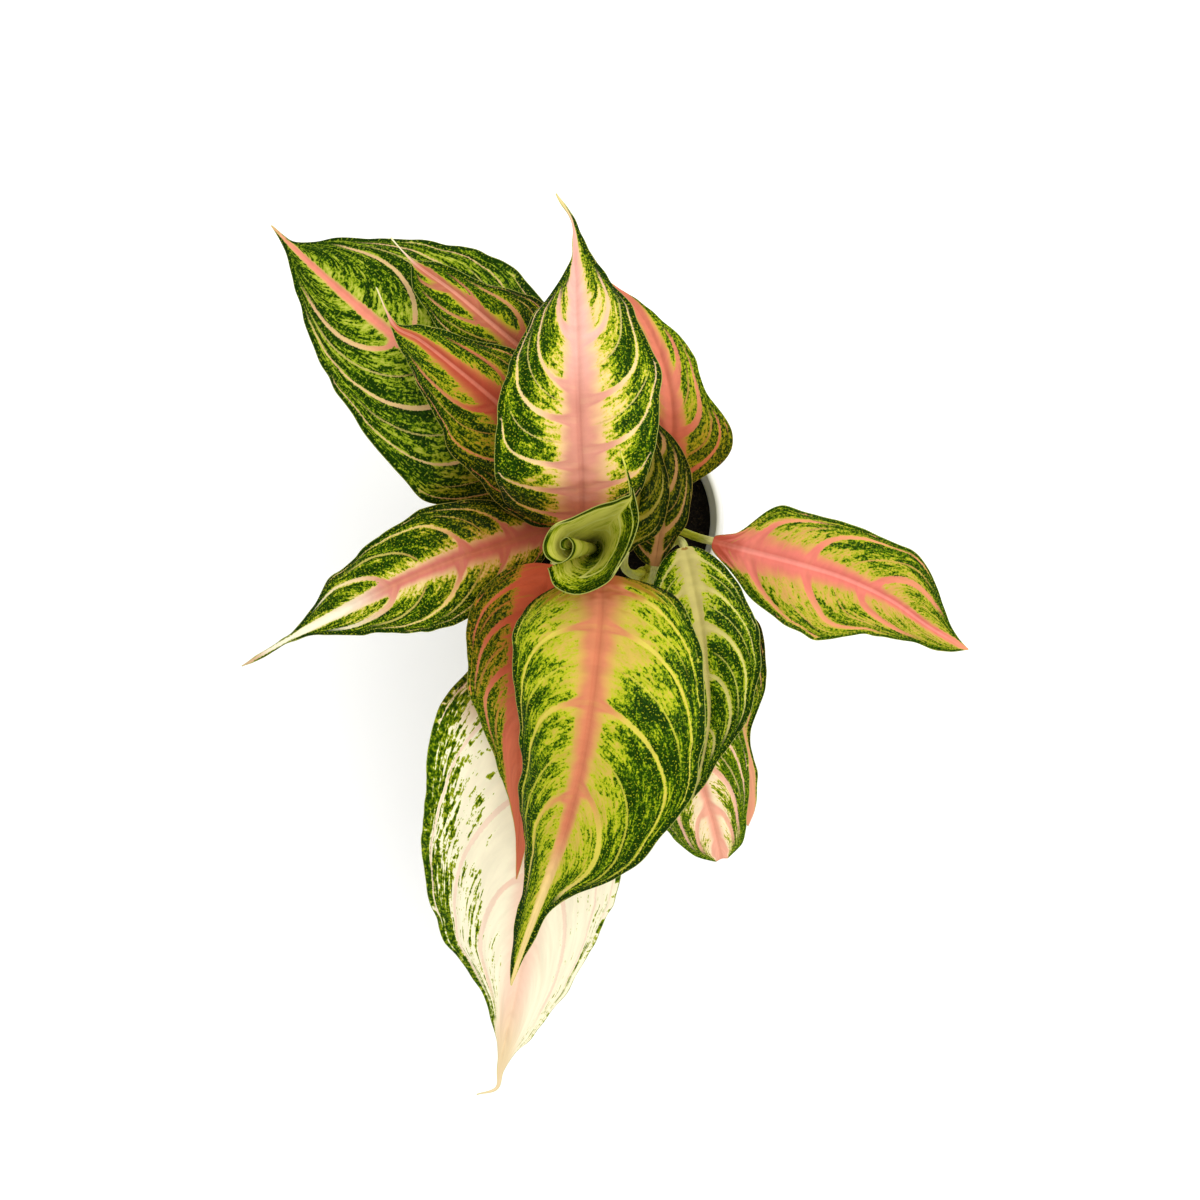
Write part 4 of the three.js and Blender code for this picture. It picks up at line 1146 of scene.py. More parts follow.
# %% The blades
BLADE_ROWS = 150
SIDE_COLUMNS = 34
BLADE_HALF_THICKNESS, EDGE_HALF_THICKNESS = 0.3, 0.12
EDGE_TAPER = 1.2
KEEL_DEPTH, KEEL_WIDTH = 1.2, 1.3
LIFT_GAIN, MARGIN_INSET = 1.3, 0.5
SEED_STEP = 7.3


def crowded(count, share):
    """Shares from 0 to 1, evenly spaced but for a share that crowds towards both ends."""
    even = np.linspace(0, 1, count + 1)
    return share * (1 - np.cos(np.pi * even)) / 2 + (1 - share) * even


def blade_grid():
    """Shares of the length, and of the half width from the left margin to the right one."""
    side = crowded(SIDE_COLUMNS, 0.45)
    return crowded(BLADE_ROWS, 0.6), np.r_[-side[:0:-1], side]


def waved(surface, s, a, right, length, seed):
    """The surface with uneven waves of its margin, up and down as well as in and out."""
    random = np.random.default_rng(seed)
    lift, spread = [[margin_ripple(s, a, length, random) for _ in range(2)] for _ in range(2)]
    normal = grid_normals(surface)
    outward = unit(np.gradient(surface, axis=1)) * np.where(right, 1, -1)[..., None]
    drawn_in = MARGIN_INSET * a**4 * (s * (1 - s) * 4)**0.5
    lifted = surface + normal * np.where(right, lift[0], lift[1])[..., None] * LIFT_GAIN
    return lifted + outward * (np.where(right, spread[0], spread[1]) - drawn_in)[..., None], normal


def blade_piece(name, leaf, group, seed):
    """A finished blade for its node: its surface, notched, waved and quilted, with a thickness."""
    rows, columns = blade_grid()
    surface, s, a, right, width, length = blade_surface(leaf, rows, columns)
    surface = notched(surface, s, a * width, leaf["notch"])
    fields, flow = vein_fields(leaf, s, a, width, length, right, surface)
    surface, normal = waved(surface, s, a, right, length, seed)
    height = relief(fields, s, width)[..., None]
    taper = np.clip(fields["edge"] / EDGE_TAPER, 0, 1)**0.5
    half = (EDGE_HALF_THICKNESS + (BLADE_HALF_THICKNESS - EDGE_HALF_THICKNESS) * taper)[..., None]
    keel = (KEEL_DEPTH * (1 - s) * np.exp(-(fields["rib"] / KEEL_WIDTH)**2))[..., None]
    flat = np.stack([np.where(right, 1, -1) * a * width, s * length], 2)
    maps = {"flow": flow / leaf["coarse"], "blade": flat / leaf["coarse"]}
    piece = sheet_piece(name + "_blade", surface, normal, height + half, height - half - keel,
                        fields, maps, under=1.0)
    finish_piece(piece, leaf_material(name, group, leaf["paint"], seed * SEED_STEP), name)


for number, (leaf_name, leaf_facts) in enumerate(LEAVES.items()):
    blade_piece(leaf_name, leaf_facts, paint_group, number + 1)

# %% [markdown]
# ## The paths of the petioles
# Each shoot is a short ringed cane with the petioles that grew from it, one grown
# piece. A petiole leaves its cane steeply and bends out to the foot of its blade.
# A cubic Bezier curve does that with two handles, one nearly straight up from the
# cane and one against the direction in which the stalk meets the blade.

# %% The paths of the petioles
CANE_FOOT = 55
CANE_RADIUS = 6.0
CANE_NODE_SPACING = 9.0
CANE_SIDES, STALK_SIDES = 40, 28
SOIL_TOP = 94.0
SHEATH_RADIUS, STALK_RADIUS = 4.6, 2.1
PETIOLE_UPRIGHT = 2.0
HANDLE_LEAN, HANDLE_RISE, HANDLE_END = 0.12, 0.3, 0.28
PATH_POINTS = 64
SEAT_GAP = 0.3

SHOOTS = {
    "shoot_main": dict(foot=(-16, -20), top=152, petioles=dict(
        leaf_top=138, leaf_front=134, leaf_left_inner=130, leaf_left_low=122, leaf_red=117,
        leaf_upper_left=108, leaf_bottom=103)),
    "shoot_right": dict(foot=(8, 4), top=136, petioles=dict(
        leaf_left_back=124, leaf_upper_right=119, leaf_far_right=110)),
    "shoot_front": dict(foot=(14, -34), top=130, petioles=dict(
        leaf_shade_inner=118, leaf_right=115, leaf_shade_outer=112, leaf_blunt=108,
        leaf_low_right=104)),
}


def bezier(start, leave, arrive, end, u):
    """Points of a cubic Bezier curve at shares u."""
    u = u[:, None]
    return ((1 - u)**3 * start + 3 * u * (1 - u)**2 * leave + 3 * u**2 * (1 - u) * arrive
            + u**3 * end)


def petiole_path(foot, height, end, direction):
    """Points from the cane to just under the foot of the blade, as in the frame."""
    upward = unit(direction + PETIOLE_UPRIGHT * UP)
    bend = np.arccos(np.clip(upward @ direction, -1, 1))
    start = np.array([*foot, height], float)
    tip = end - upward * (SEAT_GAP + STALK_RADIUS * np.sin(bend))
    reach = np.linalg.norm(tip - start)
    leave = start + HANDLE_LEAN * (tip - start) + HANDLE_RISE * reach * UP
    arrive = tip - HANDLE_END * reach * upward
    return bezier(start, leave, arrive, tip, np.linspace(0, 1, PATH_POINTS))


print("petioles:", sum(len(shoot["petioles"]) for shoot in SHOOTS.values()))

# %% [markdown]
# ## Tubes along a path
# A stalk is a section carried along a path. A curve object with a bevel could
# draw it, but its section could not open into a sheath on the way. So the rings
# are worked out here: at each point of the path the section lies square to it,
# with its angle zero on the upper side, and both ends close in a pole.

# %% Tubes along a path
MAP_RADIUS = 3


def swept(path, radii, section):
    """A closed tube: section(u, angle) scales the radius; angle 0 is the upper side."""
    heading = path[-1] - path[0]
    right = np.cross([heading[0], heading[1], 1e-6], UP)
    tangent = unit(np.gradient(path, axis=0))
    upper = unit(np.cross(right, tangent))
    side = np.cross(tangent, upper)
    angles = np.linspace(0, 2 * np.pi, STALK_SIDES + 1)[:-1]
    u, angle = np.meshgrid(np.linspace(0, 1, len(path)), angles, indexing="ij")
    radius = (radii[:, None] * section(u, angle))[..., None]
    cos, sin = np.cos(angle)[..., None], np.sin(angle)[..., None]
    ring = path[:, None] + radius * (cos * upper[:, None] + sin * side[:, None])
    around = np.stack([np.broadcast_to(run_of(path)[:, None], u.shape), angle * MAP_RADIUS], 2)
    return closed_rings(ring), with_poles(u), with_poles(around)


def closed_rings(rings):
    """The points of a stack of rings, then the middles of its first and last ring."""
    return np.concatenate([rings.reshape(-1, 3), rings[:1].mean(1), rings[-1:].mean(1)])


def with_poles(values):
    """Values on the rings, with those of the first and last ring for the poles."""
    flat = values.reshape(values.shape[0] * values.shape[1], -1)
    return np.concatenate([flat, flat[:1], flat[-1:]])


def ring_faces(rows, columns):
    """Quads round a stack of rings, and triangles that fan out to the two poles."""
    index = np.arange(rows * columns).reshape(rows, columns)
    after = np.roll(index, -1, axis=1)
    sides = np.stack([index[:-1], after[:-1], after[1:], index[1:]], 2).reshape(-1, 4)
    first = np.stack([after[0], index[0], np.full(columns, rows * columns)], 1)
    last = np.stack([index[-1], after[-1], np.full(columns, rows * columns + 1)], 1)
    return sides, np.concatenate([first, last])


print("faces between two rings of a stalk:", len(ring_faces(2, STALK_SIDES)[0]))

# %% [markdown]
# ## Petioles
# Low down a petiole is a wide sheath, open on the side of the cane; higher up it
# is a thin round stalk with a shallow groove on its upper side, and it fades into
# the keel under the blade. One section formula does both, with a groove that
# narrows on the way up.

# %% Petioles
KEEL_SHARES = np.linspace(0, 0.12, 9)
KEEL_START_RADIUS, KEEL_END_RADIUS = 1.9, 0.6


def petiole_section(u, angle):
    """Round, with a groove on the upper side that opens into a sheath low down."""
    angle = np.abs((angle + np.pi) % (2 * np.pi) - np.pi)
    low = 1 - smoothstep(u, 0.1, 0.62)
    width = 0.34 + 0.36 * low
    groove = (0.16 + 0.42 * low) * np.exp(-(angle / width)**2)
    edge = (0.05 + 0.12 * low) * np.exp(-((angle - 1.45 * width) / 0.2)**2)
    ribs = 0.02 * np.sin(9 * angle)
    return 1 - groove + edge + ribs


def petiole_radii(count):
    """Radii from the sheath at its foot to the thin stalk."""
    low = 1 - smoothstep(np.linspace(0, 1, count), 0, 0.6)
    return STALK_RADIUS + (SHEATH_RADIUS - STALK_RADIUS) * low


def petiole_parts(foot, height, leaf):
    """A petiole that fades under its blade, with its share of length and its flow coordinates."""
    place, tangent, _ = along_curve(leaf["rib"], KEEL_SHARES)
    path = petiole_path(foot, height, place[0], tangent[0])
    thin = np.linspace(KEEL_START_RADIUS, KEEL_END_RADIUS, len(place) - 1)
    over = np.cross(unit(np.cross(tangent[1:], UP)), tangent[1:])
    under = place[1:] - over * (thin[:, None] + KEEL_END_RADIUS)
    radii = np.r_[petiole_radii(len(path)), thin]
    return swept(np.vstack([path, under]), radii, petiole_section)


print("stalk radius:", STALK_RADIUS, "mm, sheath radius:", SHEATH_RADIUS, "mm")

# %% [markdown]
# ## Canes
# The cane shows where old leaves stood: a raised, slightly tilted ring every nine
# millimetres. Rings could be separate bands, but they are the same skin, so the
# cane is one turned surface whose radius swells at each node.

# %% Canes
CANE_ROWS, CAP_ROWS = 110, 7
CANE_ROUNDING = 4
RING_TILT, RING_WIDTH, RING_HEIGHT = 0.5, 0.8, 0.45


def cane_parts(foot, top):
    """A round cane with a raised, slightly tilted ring at each node and a rounded top."""
    rounding = np.linspace(0.2, 1.45, CAP_ROWS)
    z = np.r_[np.linspace(CANE_FOOT, top - CANE_ROUNDING, CANE_ROWS),
              top - CANE_ROUNDING * (1 - np.sin(rounding))]
    cap = np.r_[np.ones(CANE_ROWS), np.cos(rounding)]
    angles = np.linspace(0, 2 * np.pi, CANE_SIDES + 1)[:-1]
    height, angle = np.meshgrid(z, angles, indexing="ij")
    tilt = RING_TILT * np.sin(angle + height // CANE_NODE_SPACING * 2)
    phase = (height - SOIL_TOP + tilt) / CANE_NODE_SPACING
    ring = np.exp(-((phase - np.rint(phase)) * CANE_NODE_SPACING / RING_WIDTH)**2)
    uneven = 0.12 * np.sin(3 * angle + 0.2 * height)
    radius = (CANE_RADIUS + RING_HEIGHT * ring + uneven) * cap[:, None]
    points = np.stack([foot[0] + radius * np.cos(angle), foot[1] + radius * np.sin(angle),
                       height], 2)
    flow = np.stack([height, angle * CANE_RADIUS], 2)
    return [closed_rings(points), *map(with_poles, (np.zeros_like(height), flow, ring))]


main_cane_length = SHOOTS["shoot_main"]["top"] - CANE_FOOT
print("rings on the main cane:", round(main_cane_length / CANE_NODE_SPACING))

# %% [markdown]
# ## The skin of stems and petioles
# Petioles are pale green, whiter at the sheath, with darker flecks drawn out along
# them, and the cane's rings are brown. Long thin noise on the map along the
# stalk gives flecks and fine lines, where noise in space would give round spots.

# %% The skin of stems and petioles
def stem_material():
    """Pale green stalks with darker flecks along them, whiter at the sheath, brown at rings, and
    painted near-black at the top of the stalk inside the rolled leaf, for the shade there.
    """
    material, n, shader = new_material("stem")
    flow, along = n.uv("flow"), n.attribute("along")
    flecks = n.stretched(flow, (0.35, 1.6), 3.0, 0.6)
    broad = n.stretched(flow, (0.05, 0.2))
    paint = n.mix(n.smooth(along, 0.0, 0.6), (0.50, 0.46, 0.05), (0.34, 0.34, 0.012))
    paint = n.mix(n.smooth(along, 0.75, 1.0), paint, (0.58, 0.53, 0.27))
    paint = n.mix(n.smooth(broad, 0.5, 0.68), paint, (0.22, 0.25, 0.006))
    paint = n.mix(n.smooth(flecks, 0.56, 0.66, 0.0, 0.6), paint, (0.12, 0.17, 0.006))
    # Painted shade: the stalk's top inside the rolled leaf, marked with -1, is painted nearly
    # black for the shade in the roll.
    paint = n.mix(n.smooth(along, -0.2, -0.9), paint, (0.05, 0.07, 0.01))
    paint = n.mix(n.attribute("ring"), paint, (0.30, 0.22, 0.09))
    lines = n.stretched(flow, (0.1, 2.5))
    dress(n, shader, paint, n.scaled(flecks, 0.2, 0.35), (lines, 0.3, 0.0004), specular=0.04)
    return material


stem = stem_material()
print("nodes in the stem material:", len(stem.node_tree.nodes))

# %% [markdown]
# ## The form of the rolled young leaf
# The youngest leaf is still rolled. It could be a cone, but a real one is one
# sheet wound round itself: a small tight scroll at its foot that opens into a
# spiral mouth. So the sheet runs from a circle at the foot to the mouth, whose
# points are x and y from the scroll's axis, the height, and the direction in
# degrees of the same place at the foot, from the outer margin round to the tip
# and on into the scroll. At the tip it draws out into a thin thread.

# %% The form of the rolled young leaf
SCROLL_AXIS = (-15, -22)
SCROLL_FOOT = 268
SCROLL_OUTER_RADIUS, SCROLL_INNER_RADIUS = 4.8, 1.2
MOUTH = [
    (-20, -10.5, 322, 207), (-16.5, -19, 325, 229), (-6, -22.5, 330, 255), (6.5, -17.5, 335, 290),
    (12.5, -9.5, 338, 323), (17.5, -0.5, 341, 358), (20.5, 9, 343, 386), (20, 16, 345, 403),
    (18.4, 20.5, 346, 421), (15, 20.5, 346, 436), (10, 18.5, 345, 446), (2.5, 16.5, 344, 460),
    (-8.5, 11.5, 341, 488), (-17, 8, 338, 516), (-21.5, 0.5, 336, 539), (-20.5, -5.5, 334, 565),
    (-15, -8.5, 333, 600), (-10, -5.5, 332, 640), (-8.5, -0.5, 331, 680), (-11, 3, 330, 740),
    (-14, 1.5, 329, 800), (-14, -1.5, 329, 850), (-12, -2.5, 329, 890),
]
MOUTH_TIP = 8
TIP_THREAD = ((-2.0, 13.0, 4.5), (-4.5, 7.5, 1.5))
THREAD_WIDTH = 2.2
ROLL_ROWS, ROLL_COLUMNS = 70, 280


def thread_share(direction):
    """How much a point of the mouth takes part in the thin thread at the leaf's tip."""
    return np.exp(-np.abs((direction - MOUTH[MOUTH_TIP][3]) / THREAD_WIDTH))


def scroll_place(point, v):
    """The sheet's place for a mouth point at height share v: a circle flaring into the mouth."""
    x, y, height, direction = np.moveaxis(np.asarray(point), -1, 0)
    share = (direction - MOUTH[0][3]) / (MOUTH[-1][3] - MOUTH[0][3])
    radius = SCROLL_OUTER_RADIUS + (SCROLL_INNER_RADIUS - SCROLL_OUTER_RADIUS) * share
    radius = radius * (0.25 + 0.75 * smoothstep(v, 0, 0.15))
    flare, angle = v**2, np.radians(direction)
    thread = thread_share(direction)[..., None] * max(10 * v - 9, 0)**4
    place = np.stack([
        SCROLL_AXIS[0] + (1 - flare) * radius * np.cos(angle) + flare * x,
        SCROLL_AXIS[1] + (1 - flare) * radius * np.sin(angle) + flare * y,
        SCROLL_FOOT + (height - SCROLL_FOOT) * v], -1)
    return place + thread * TIP_THREAD[0] + thread**2 * TIP_THREAD[1]


print("the mouth lies between", MOUTH[0][2], "and", MOUTH[MOUTH_TIP][2], "mm above the floor")

# %% [markdown]
# ## The rolled young leaf
# It carries the same paint as the open ones. Its margin is the mouth's rim, so the
# distance down from the rim takes the place of the distance from a margin, and
# the green lies along the rim and on the outside of the flare.

# %% The rolled young leaf
ROLL_PAINT = dict(ground=(0.62, 0.60, 0.10), outer=(0.42, 0.45, 0.035), blush=VEIN_YELLOW,
                  vein=(0.66, 0.66, 0.18), band=4, dusk=0.01, fade=1.2)
ROLL_SEED = 3.1
ROLL_PITCH = 15.0


def roll_columns(tip):
    """Shares of the mouth from its outer margin to the scroll, crowded at the leaf's tip."""
    even = np.linspace(0, 1, FINE_STEPS)
    crowd = np.cumsum(1 + 5 * np.exp(-((even - tip) / 0.03)**2))
    return np.interp(np.linspace(crowd[0], crowd[-1], ROLL_COLUMNS), crowd, even)


def rolled_fields(surface, columns, tip, thread):
    """The numbers for the paint, the map along the roll, and the margin's distance."""
    down = np.linalg.norm(np.diff(surface, axis=0), axis=2)
    edge = np.r_[np.cumsum(down[::-1], axis=0)[::-1], np.zeros((1, ROLL_COLUMNS))]
    across = np.linalg.norm(np.diff(surface, axis=1), axis=2)
    run = np.c_[np.zeros(ROLL_ROWS), np.cumsum(across, axis=1)]
    from_rib = np.abs(run - np.array([np.interp(tip, columns, row) for row in run])[:, None])
    margin = np.minimum(edge, np.minimum(run, run[:, -1:] - run) + 3.0) + 7 * thread**2
    flared = smoothstep(columns, 0.02, 0.12) * (1 - smoothstep(columns, tip - 0.03, tip + 0.01))
    green = flared * 1.2 * np.exp(-(margin / 20)**3) + 0.9 * np.exp(-(margin / 4)**2)
    same = np.ones_like(run)
    fields = {
        "vein": (margin - 6.5) / ROLL_PITCH + 0.008 * from_rib, "pitch": ROLL_PITCH * same,
        "green": green - 0.5 - thread, "weight": 0.9 * same, "fine": 0.1 * same,
        "across": np.clip(1 - margin / 30, 0, 0.8), "along": 0.4 * same,
        "rib": from_rib + 20, "edge": margin, "blush": -19 - from_rib,
    }
    return fields, np.stack([run, edge], 2), margin


def rolled_piece(group):
    """The rolled leaf as a thin closed sheet, with its rim as the margin."""
    heights = 1 - (1 - np.linspace(0, 1, ROLL_ROWS))**1.5
    tip = MOUTH_TIP / (len(MOUTH) - 1)
    columns = roll_columns(tip)
    mouth = catmull_rom(MOUTH, columns)
    surface = np.stack([scroll_place(mouth, v) for v in heights])
    fields, flow, margin = rolled_fields(surface, columns, tip, thread_share(mouth[:, 3]))
    half = EDGE_HALF_THICKNESS + 0.2 * np.clip(margin / EDGE_TAPER, 0, 1)
    half = np.minimum(half, BLADE_HALF_THICKNESS)[..., None]
    piece = sheet_piece("leaf_rolled_blade", surface, grid_normals(surface), half, -half, fields,
                        {"flow": flow, "blade": flow}, under=0.0)
    finish_piece(piece, leaf_material("leaf_rolled", group, ROLL_PAINT, ROLL_SEED), "leaf_rolled")


rolled_piece(paint_group)

# %% [markdown]
# ## The shoots
# Cane, petioles and the stalk under the rolled leaf are one grown body in the
# frame, so they are one piece here too. Each part is a closed tube that starts
# inside the cane, where the real tissues are joined.

# %% The shoots
def roll_stalk(facts):
    """The stalk from the main cane's top into the foot of the rolled leaf. Its upper end, in the
    shade inside the roll, is marked with -1, where the stem's paint puts that shade on as a dark
    colour."""
    foot = scroll_place(np.array(MOUTH[MOUTH_TIP], float), 0.0)
    path = petiole_path(facts["foot"], facts["top"] - 12, foot, UP)
    points, along, flow = swept(path, petiole_radii(len(path)), petiole_section)
    return points, np.where(along > 0.9, -1, along), flow


def shoot_piece(name, facts, material):
    """A cane and its petioles as one piece."""
    stalks = [petiole_parts(facts["foot"], height, LEAVES[leaf_name])
              for leaf_name, height in facts["petioles"].items()]
    if name == "shoot_main":
        stalks.append(roll_stalk(facts))
    bodies = [cane_parts(facts["foot"], facts["top"])]
    bodies += [(points, along, flow, np.zeros(len(points))) for points, along, flow in stalks]
    quads, fans, offset = [], [], 0
    for number, body in enumerate(bodies):
        columns = STALK_SIDES if number else CANE_SIDES
        sides, ends = ring_faces((len(body[0]) - 2) // columns, columns)
        quads.append(sides + offset)
        fans.append(ends + offset)
        offset += len(body[0])
    points, along, flow, ring = [
        np.concatenate([np.asarray(part).reshape(len(part), -1) for part in column])
        for column in zip(*bodies)]
    piece = mesh_object(name + "_stem", points, np.concatenate(quads),
                        {"along": along, "ring": ring}, {"flow": flow}, np.concatenate(fans))
    finish_piece(piece, material, name)


for shoot_name, shoot_facts in SHOOTS.items():
    shoot_piece(shoot_name, shoot_facts, stem)

# %% [markdown]
# ## Turned shapes
# The pot was thrown or pressed round, and its soil fills it, so both are profiles
# turned about the vertical axis. A Screw modifier would do, but rings worked
# out here close in a pole and can be made lumpy for the soil. The measures are
# the frame's.

# %% Turned shapes
POT_TOP_RADIUS, POT_HEIGHT, POT_BASE_RADIUS = 60.0, 115.0, 44.0
POT_WALL, POT_FLOOR, LIP_HEIGHT, LIP_OVERHANG, LIP_WIDTH = 3.6, 5.5, 8.0, 1.6, 4.8
TURNS = 192


def outer_radius(z):
    """The outside of the pot's straight, tapering wall."""
    widening = POT_TOP_RADIUS - LIP_OVERHANG - POT_BASE_RADIUS
    return POT_BASE_RADIUS + widening * z / (POT_HEIGHT - LIP_HEIGHT)


def inner_radius(z):
    """The inside of the same wall."""
    return outer_radius(z) - POT_WALL


def arc(centre, radius, start, end, count=9):
    """Points on a circle from one angle in degrees to another."""
    angle = np.radians(np.linspace(start, end, count))
    return np.stack([centre[0] + radius * np.cos(angle), centre[1] + radius * np.sin(angle)], 1)


def between_points(first, last, count):
    """Evenly spaced points between two, without the ends."""
    return np.linspace(first, last, count + 2)[1:-1]


def turned_rings(profile):
    """Rings of a profile of (radius, height) pairs about the vertical axis."""
    angle = np.linspace(0, 2 * np.pi, TURNS, endpoint=False)
    radius, height = np.asarray(profile).T
    return np.stack([radius[:, None] * np.cos(angle), radius[:, None] * np.sin(angle),
                     np.broadcast_to(height[:, None], (len(radius), TURNS))], 2)


def turned_piece(name, rings, node, material):
    """A closed body from a stack of rings, with a pole at both ends."""
    sides, ends = ring_faces(len(rings), TURNS)
    finish_piece(mesh_object(name, closed_rings(rings), sides, more_faces=ends), material, node)


print("the pot is", 2 * POT_TOP_RADIUS, "mm across and", POT_HEIGHT, "mm high")

# %% [markdown]
# ## The glaze
# White glaze is glossy, a little uneven where it pools, and slightly wavy. A flat
# white would look like plastic, so soft clouds change its tint and its
# roughness, and long low ripples bend its reflections.

# %% The glaze
def glaze_material():
    """White glaze: slightly warm and cool clouds, a soft gloss and very low ripples."""
    material, n, shader = new_material("pot_glaze")
    place = n.add("ShaderNodeTexCoord").outputs["Object"]
    clouds = n.noise(place, 14.0, 3.0)
    ripples = n.noise(place, 60.0, 2.0)
    paint = n.mix(n.smooth(clouds, 0.35, 0.65), (0.86, 0.86, 0.83), (0.80, 0.79, 0.75))
    dress(n, shader, paint, n.scaled(clouds, 0.14, 0.12), (ripples, 0.15, 0.0006))
    return material


glaze = glaze_material()
print("nodes in the glaze:", len(glaze.node_tree.nodes))

# %% [markdown]
# ## The pot
# A straight tapering wall stands on a base with a small recess, and a lip stands
# out at the top. Real glaze rounds every corner, so the profile joins its
# straight parts with arcs, which also catch the light along the lip.

# %% The pot
FLOOR_ROUNDING = 4
LIP_OUTSIDE_ROUNDING, LIP_INSIDE_ROUNDING = 2.4, 2.2


def pot_profile():
    """The pot's section, from the middle of its base out, over the lip and down to its floor."""
    wall_top = POT_HEIGHT - LIP_HEIGHT
    floor_edge = POT_FLOOR + FLOOR_ROUNDING
    lip_bend, lip_shoulder = POT_HEIGHT - LIP_OUTSIDE_ROUNDING, POT_HEIGHT - LIP_INSIDE_ROUNDING
    wall_inside, low_inside = ([inner_radius(z), z] for z in (wall_top, floor_edge))
    lip_inside = POT_TOP_RADIUS - LIP_WIDTH
    low = np.array([POT_BASE_RADIUS, 2.0])
    high = np.array([outer_radius(wall_top), wall_top])
    return np.vstack([
        [[POT_BASE_RADIUS - 8, 0.8], [POT_BASE_RADIUS - 6.4, 0.7]],
        arc((POT_BASE_RADIUS - 5.4, 0.9), 0.9, 200, 270, 5),
        arc((POT_BASE_RADIUS - 2, 2), 2, -90, -5),
        between_points(low, high, 24),
        [high, high + [0.5, 0.25]],
        arc((POT_TOP_RADIUS - 1.0, wall_top + 1.8), 1.0, -50, 0, 4),
        between_points([POT_TOP_RADIUS, wall_top + 1.8], [POT_TOP_RADIUS, lip_bend], 3),
        arc((POT_TOP_RADIUS - LIP_OUTSIDE_ROUNDING, lip_bend), LIP_OUTSIDE_ROUNDING, 0, 90),
        arc((lip_inside + LIP_INSIDE_ROUNDING, lip_shoulder), LIP_INSIDE_ROUNDING, 95, 180),
        between_points([lip_inside, lip_shoulder], wall_inside, 3),
        between_points(wall_inside, low_inside, 16),
        arc((inner_radius(POT_FLOOR) - FLOOR_ROUNDING, floor_edge), FLOOR_ROUNDING, 0, -90, 6),
    ])


turned_piece("pot_body", turned_rings(pot_profile()), "pot", glaze)
print("points in the pot's profile:", len(pot_profile()))

# %% [markdown]
# ## The surface of the soil
# Loose potting soil is a low mound with lumps of several sizes. Displacement by a
# texture would do, but the crumbs have to lie on it, so its height is a formula
# that both can ask: waves in random directions, finer and lower step by step.

# %% The surface of the soil
SOIL_MOUND = 4.0
SOIL_RINGS = 90
LUMP_SIZES = ((14, 0.45), (7, 0.38), (3.6, 0.3), (2.0, 0.2), (1.2, 0.12))
LUMP_SEED = 5
LUMP_GAIN = 0.8
SETTLED_WIDTH = 3.0


def lumps(x, y, random):
    """A sum of waves in random directions, finer and lower step by step."""
    height = np.zeros_like(x)
    for size, depth in LUMP_SIZES:
        for _ in range(5):
            angle, phase = random.uniform(0, 2 * np.pi, 2)
            distance = x * np.cos(angle) + y * np.sin(angle)
            height += depth * np.sin(distance * 2 * np.pi / size + phase) / 2
    return height


def soil_height(x, y):
    """The mound, highest in the middle, with its lumps."""
    share = np.hypot(x, y) / inner_radius(SOIL_TOP)
    lumpy = LUMP_GAIN * lumps(x, y, np.random.default_rng(LUMP_SEED))
    return SOIL_TOP + SOIL_MOUND * (1 - share**2) + lumpy


def soil_rings():
    """The soil's body: its bottom, its side and its lumpy top, as rings towards the middle."""
    floor = POT_FLOOR + SEAT_GAP
    edge = inner_radius(SOIL_TOP) - SEAT_GAP
    corner = floor + FLOOR_ROUNDING
    low = [inner_radius(corner) - 0.6, corner]
    side = between_points(low, [edge, SOIL_TOP], 10)
    body = np.vstack([[[inner_radius(floor) - 6, floor], low], side])
    top = edge * np.linspace(1, 0.01, SOIL_RINGS)
    rings = turned_rings(np.vstack([body, np.stack([top, np.full(SOIL_RINGS, SOIL_TOP)], 1)]))
    x, y = rings[len(body):, :, 0], rings[len(body):, :, 1]
    free = smoothstep(edge - np.hypot(x, y), 0.0, SETTLED_WIDTH)
    rings[len(body):, :, 2] = SOIL_TOP + (soil_height(x, y) - SOIL_TOP) * free
    return rings


middle_height = soil_height(np.zeros(1), np.zeros(1))[0]
print("soil in the middle:", middle_height.round(1), "mm above the floor")

# %% [markdown]
# ## Crumbs and bark
# Bits of bark and crumbs of peat lie loose on the soil. There are hundreds, so
# each is only a squashed twenty-sided grain with its corners pushed in and out.
# All are made at once in one mesh, and none lies inside a cane.

# %% Crumbs and bark
CRUMB_COUNT = 700
GRAIN_CORNERS = 12
CRUMB_SEED = 11
SMALLEST_CRUMB, CRUMB_RANGE = 0.5, 1.2


def twenty_sided():
    """Corners and faces of a regular twenty-sided body: all threes of neighbouring corners."""
    golden = (1 + 5**0.5) / 2
    signs = [(p, q * golden) for p in (-1, 1) for q in (-1, 1)]
    corners = np.array([(0, p, q) for p, q in signs] + [(p, q, 0) for p, q in signs]
                       + [(q, 0, p) for p, q in signs]) / golden
    distance = np.linalg.norm(corners[:, None] - corners[None], axis=2)
    near = distance < 1.01 * np.sort(distance, axis=1)[0, 1]
    number = range(GRAIN_CORNERS)
    faces = [(i, j, k) for i in number for j in number[i + 1:] for k in number[j + 1:]
             if near[i, j] and near[j, k] and near[i, k]]
    outward = [f if np.linalg.det(corners[list(f)]) > 0 else f[::-1] for f in faces]
    return corners, np.array(outward)


def crumb_places(random):
    """Places spread evenly over the soil, without those inside a cane."""
    radius = (inner_radius(SOIL_TOP) - 2.5) * np.sqrt(random.uniform(0, 1, CRUMB_COUNT))
    angle = random.uniform(0, 2 * np.pi, CRUMB_COUNT)
    x, y = radius * np.cos(angle), radius * np.sin(angle)
    for shoot in SHOOTS.values():
        clear = np.hypot(x - shoot["foot"][0], y - shoot["foot"][1]) > CANE_RADIUS + 1.5
        x, y = x[clear], y[clear]
    return x, y


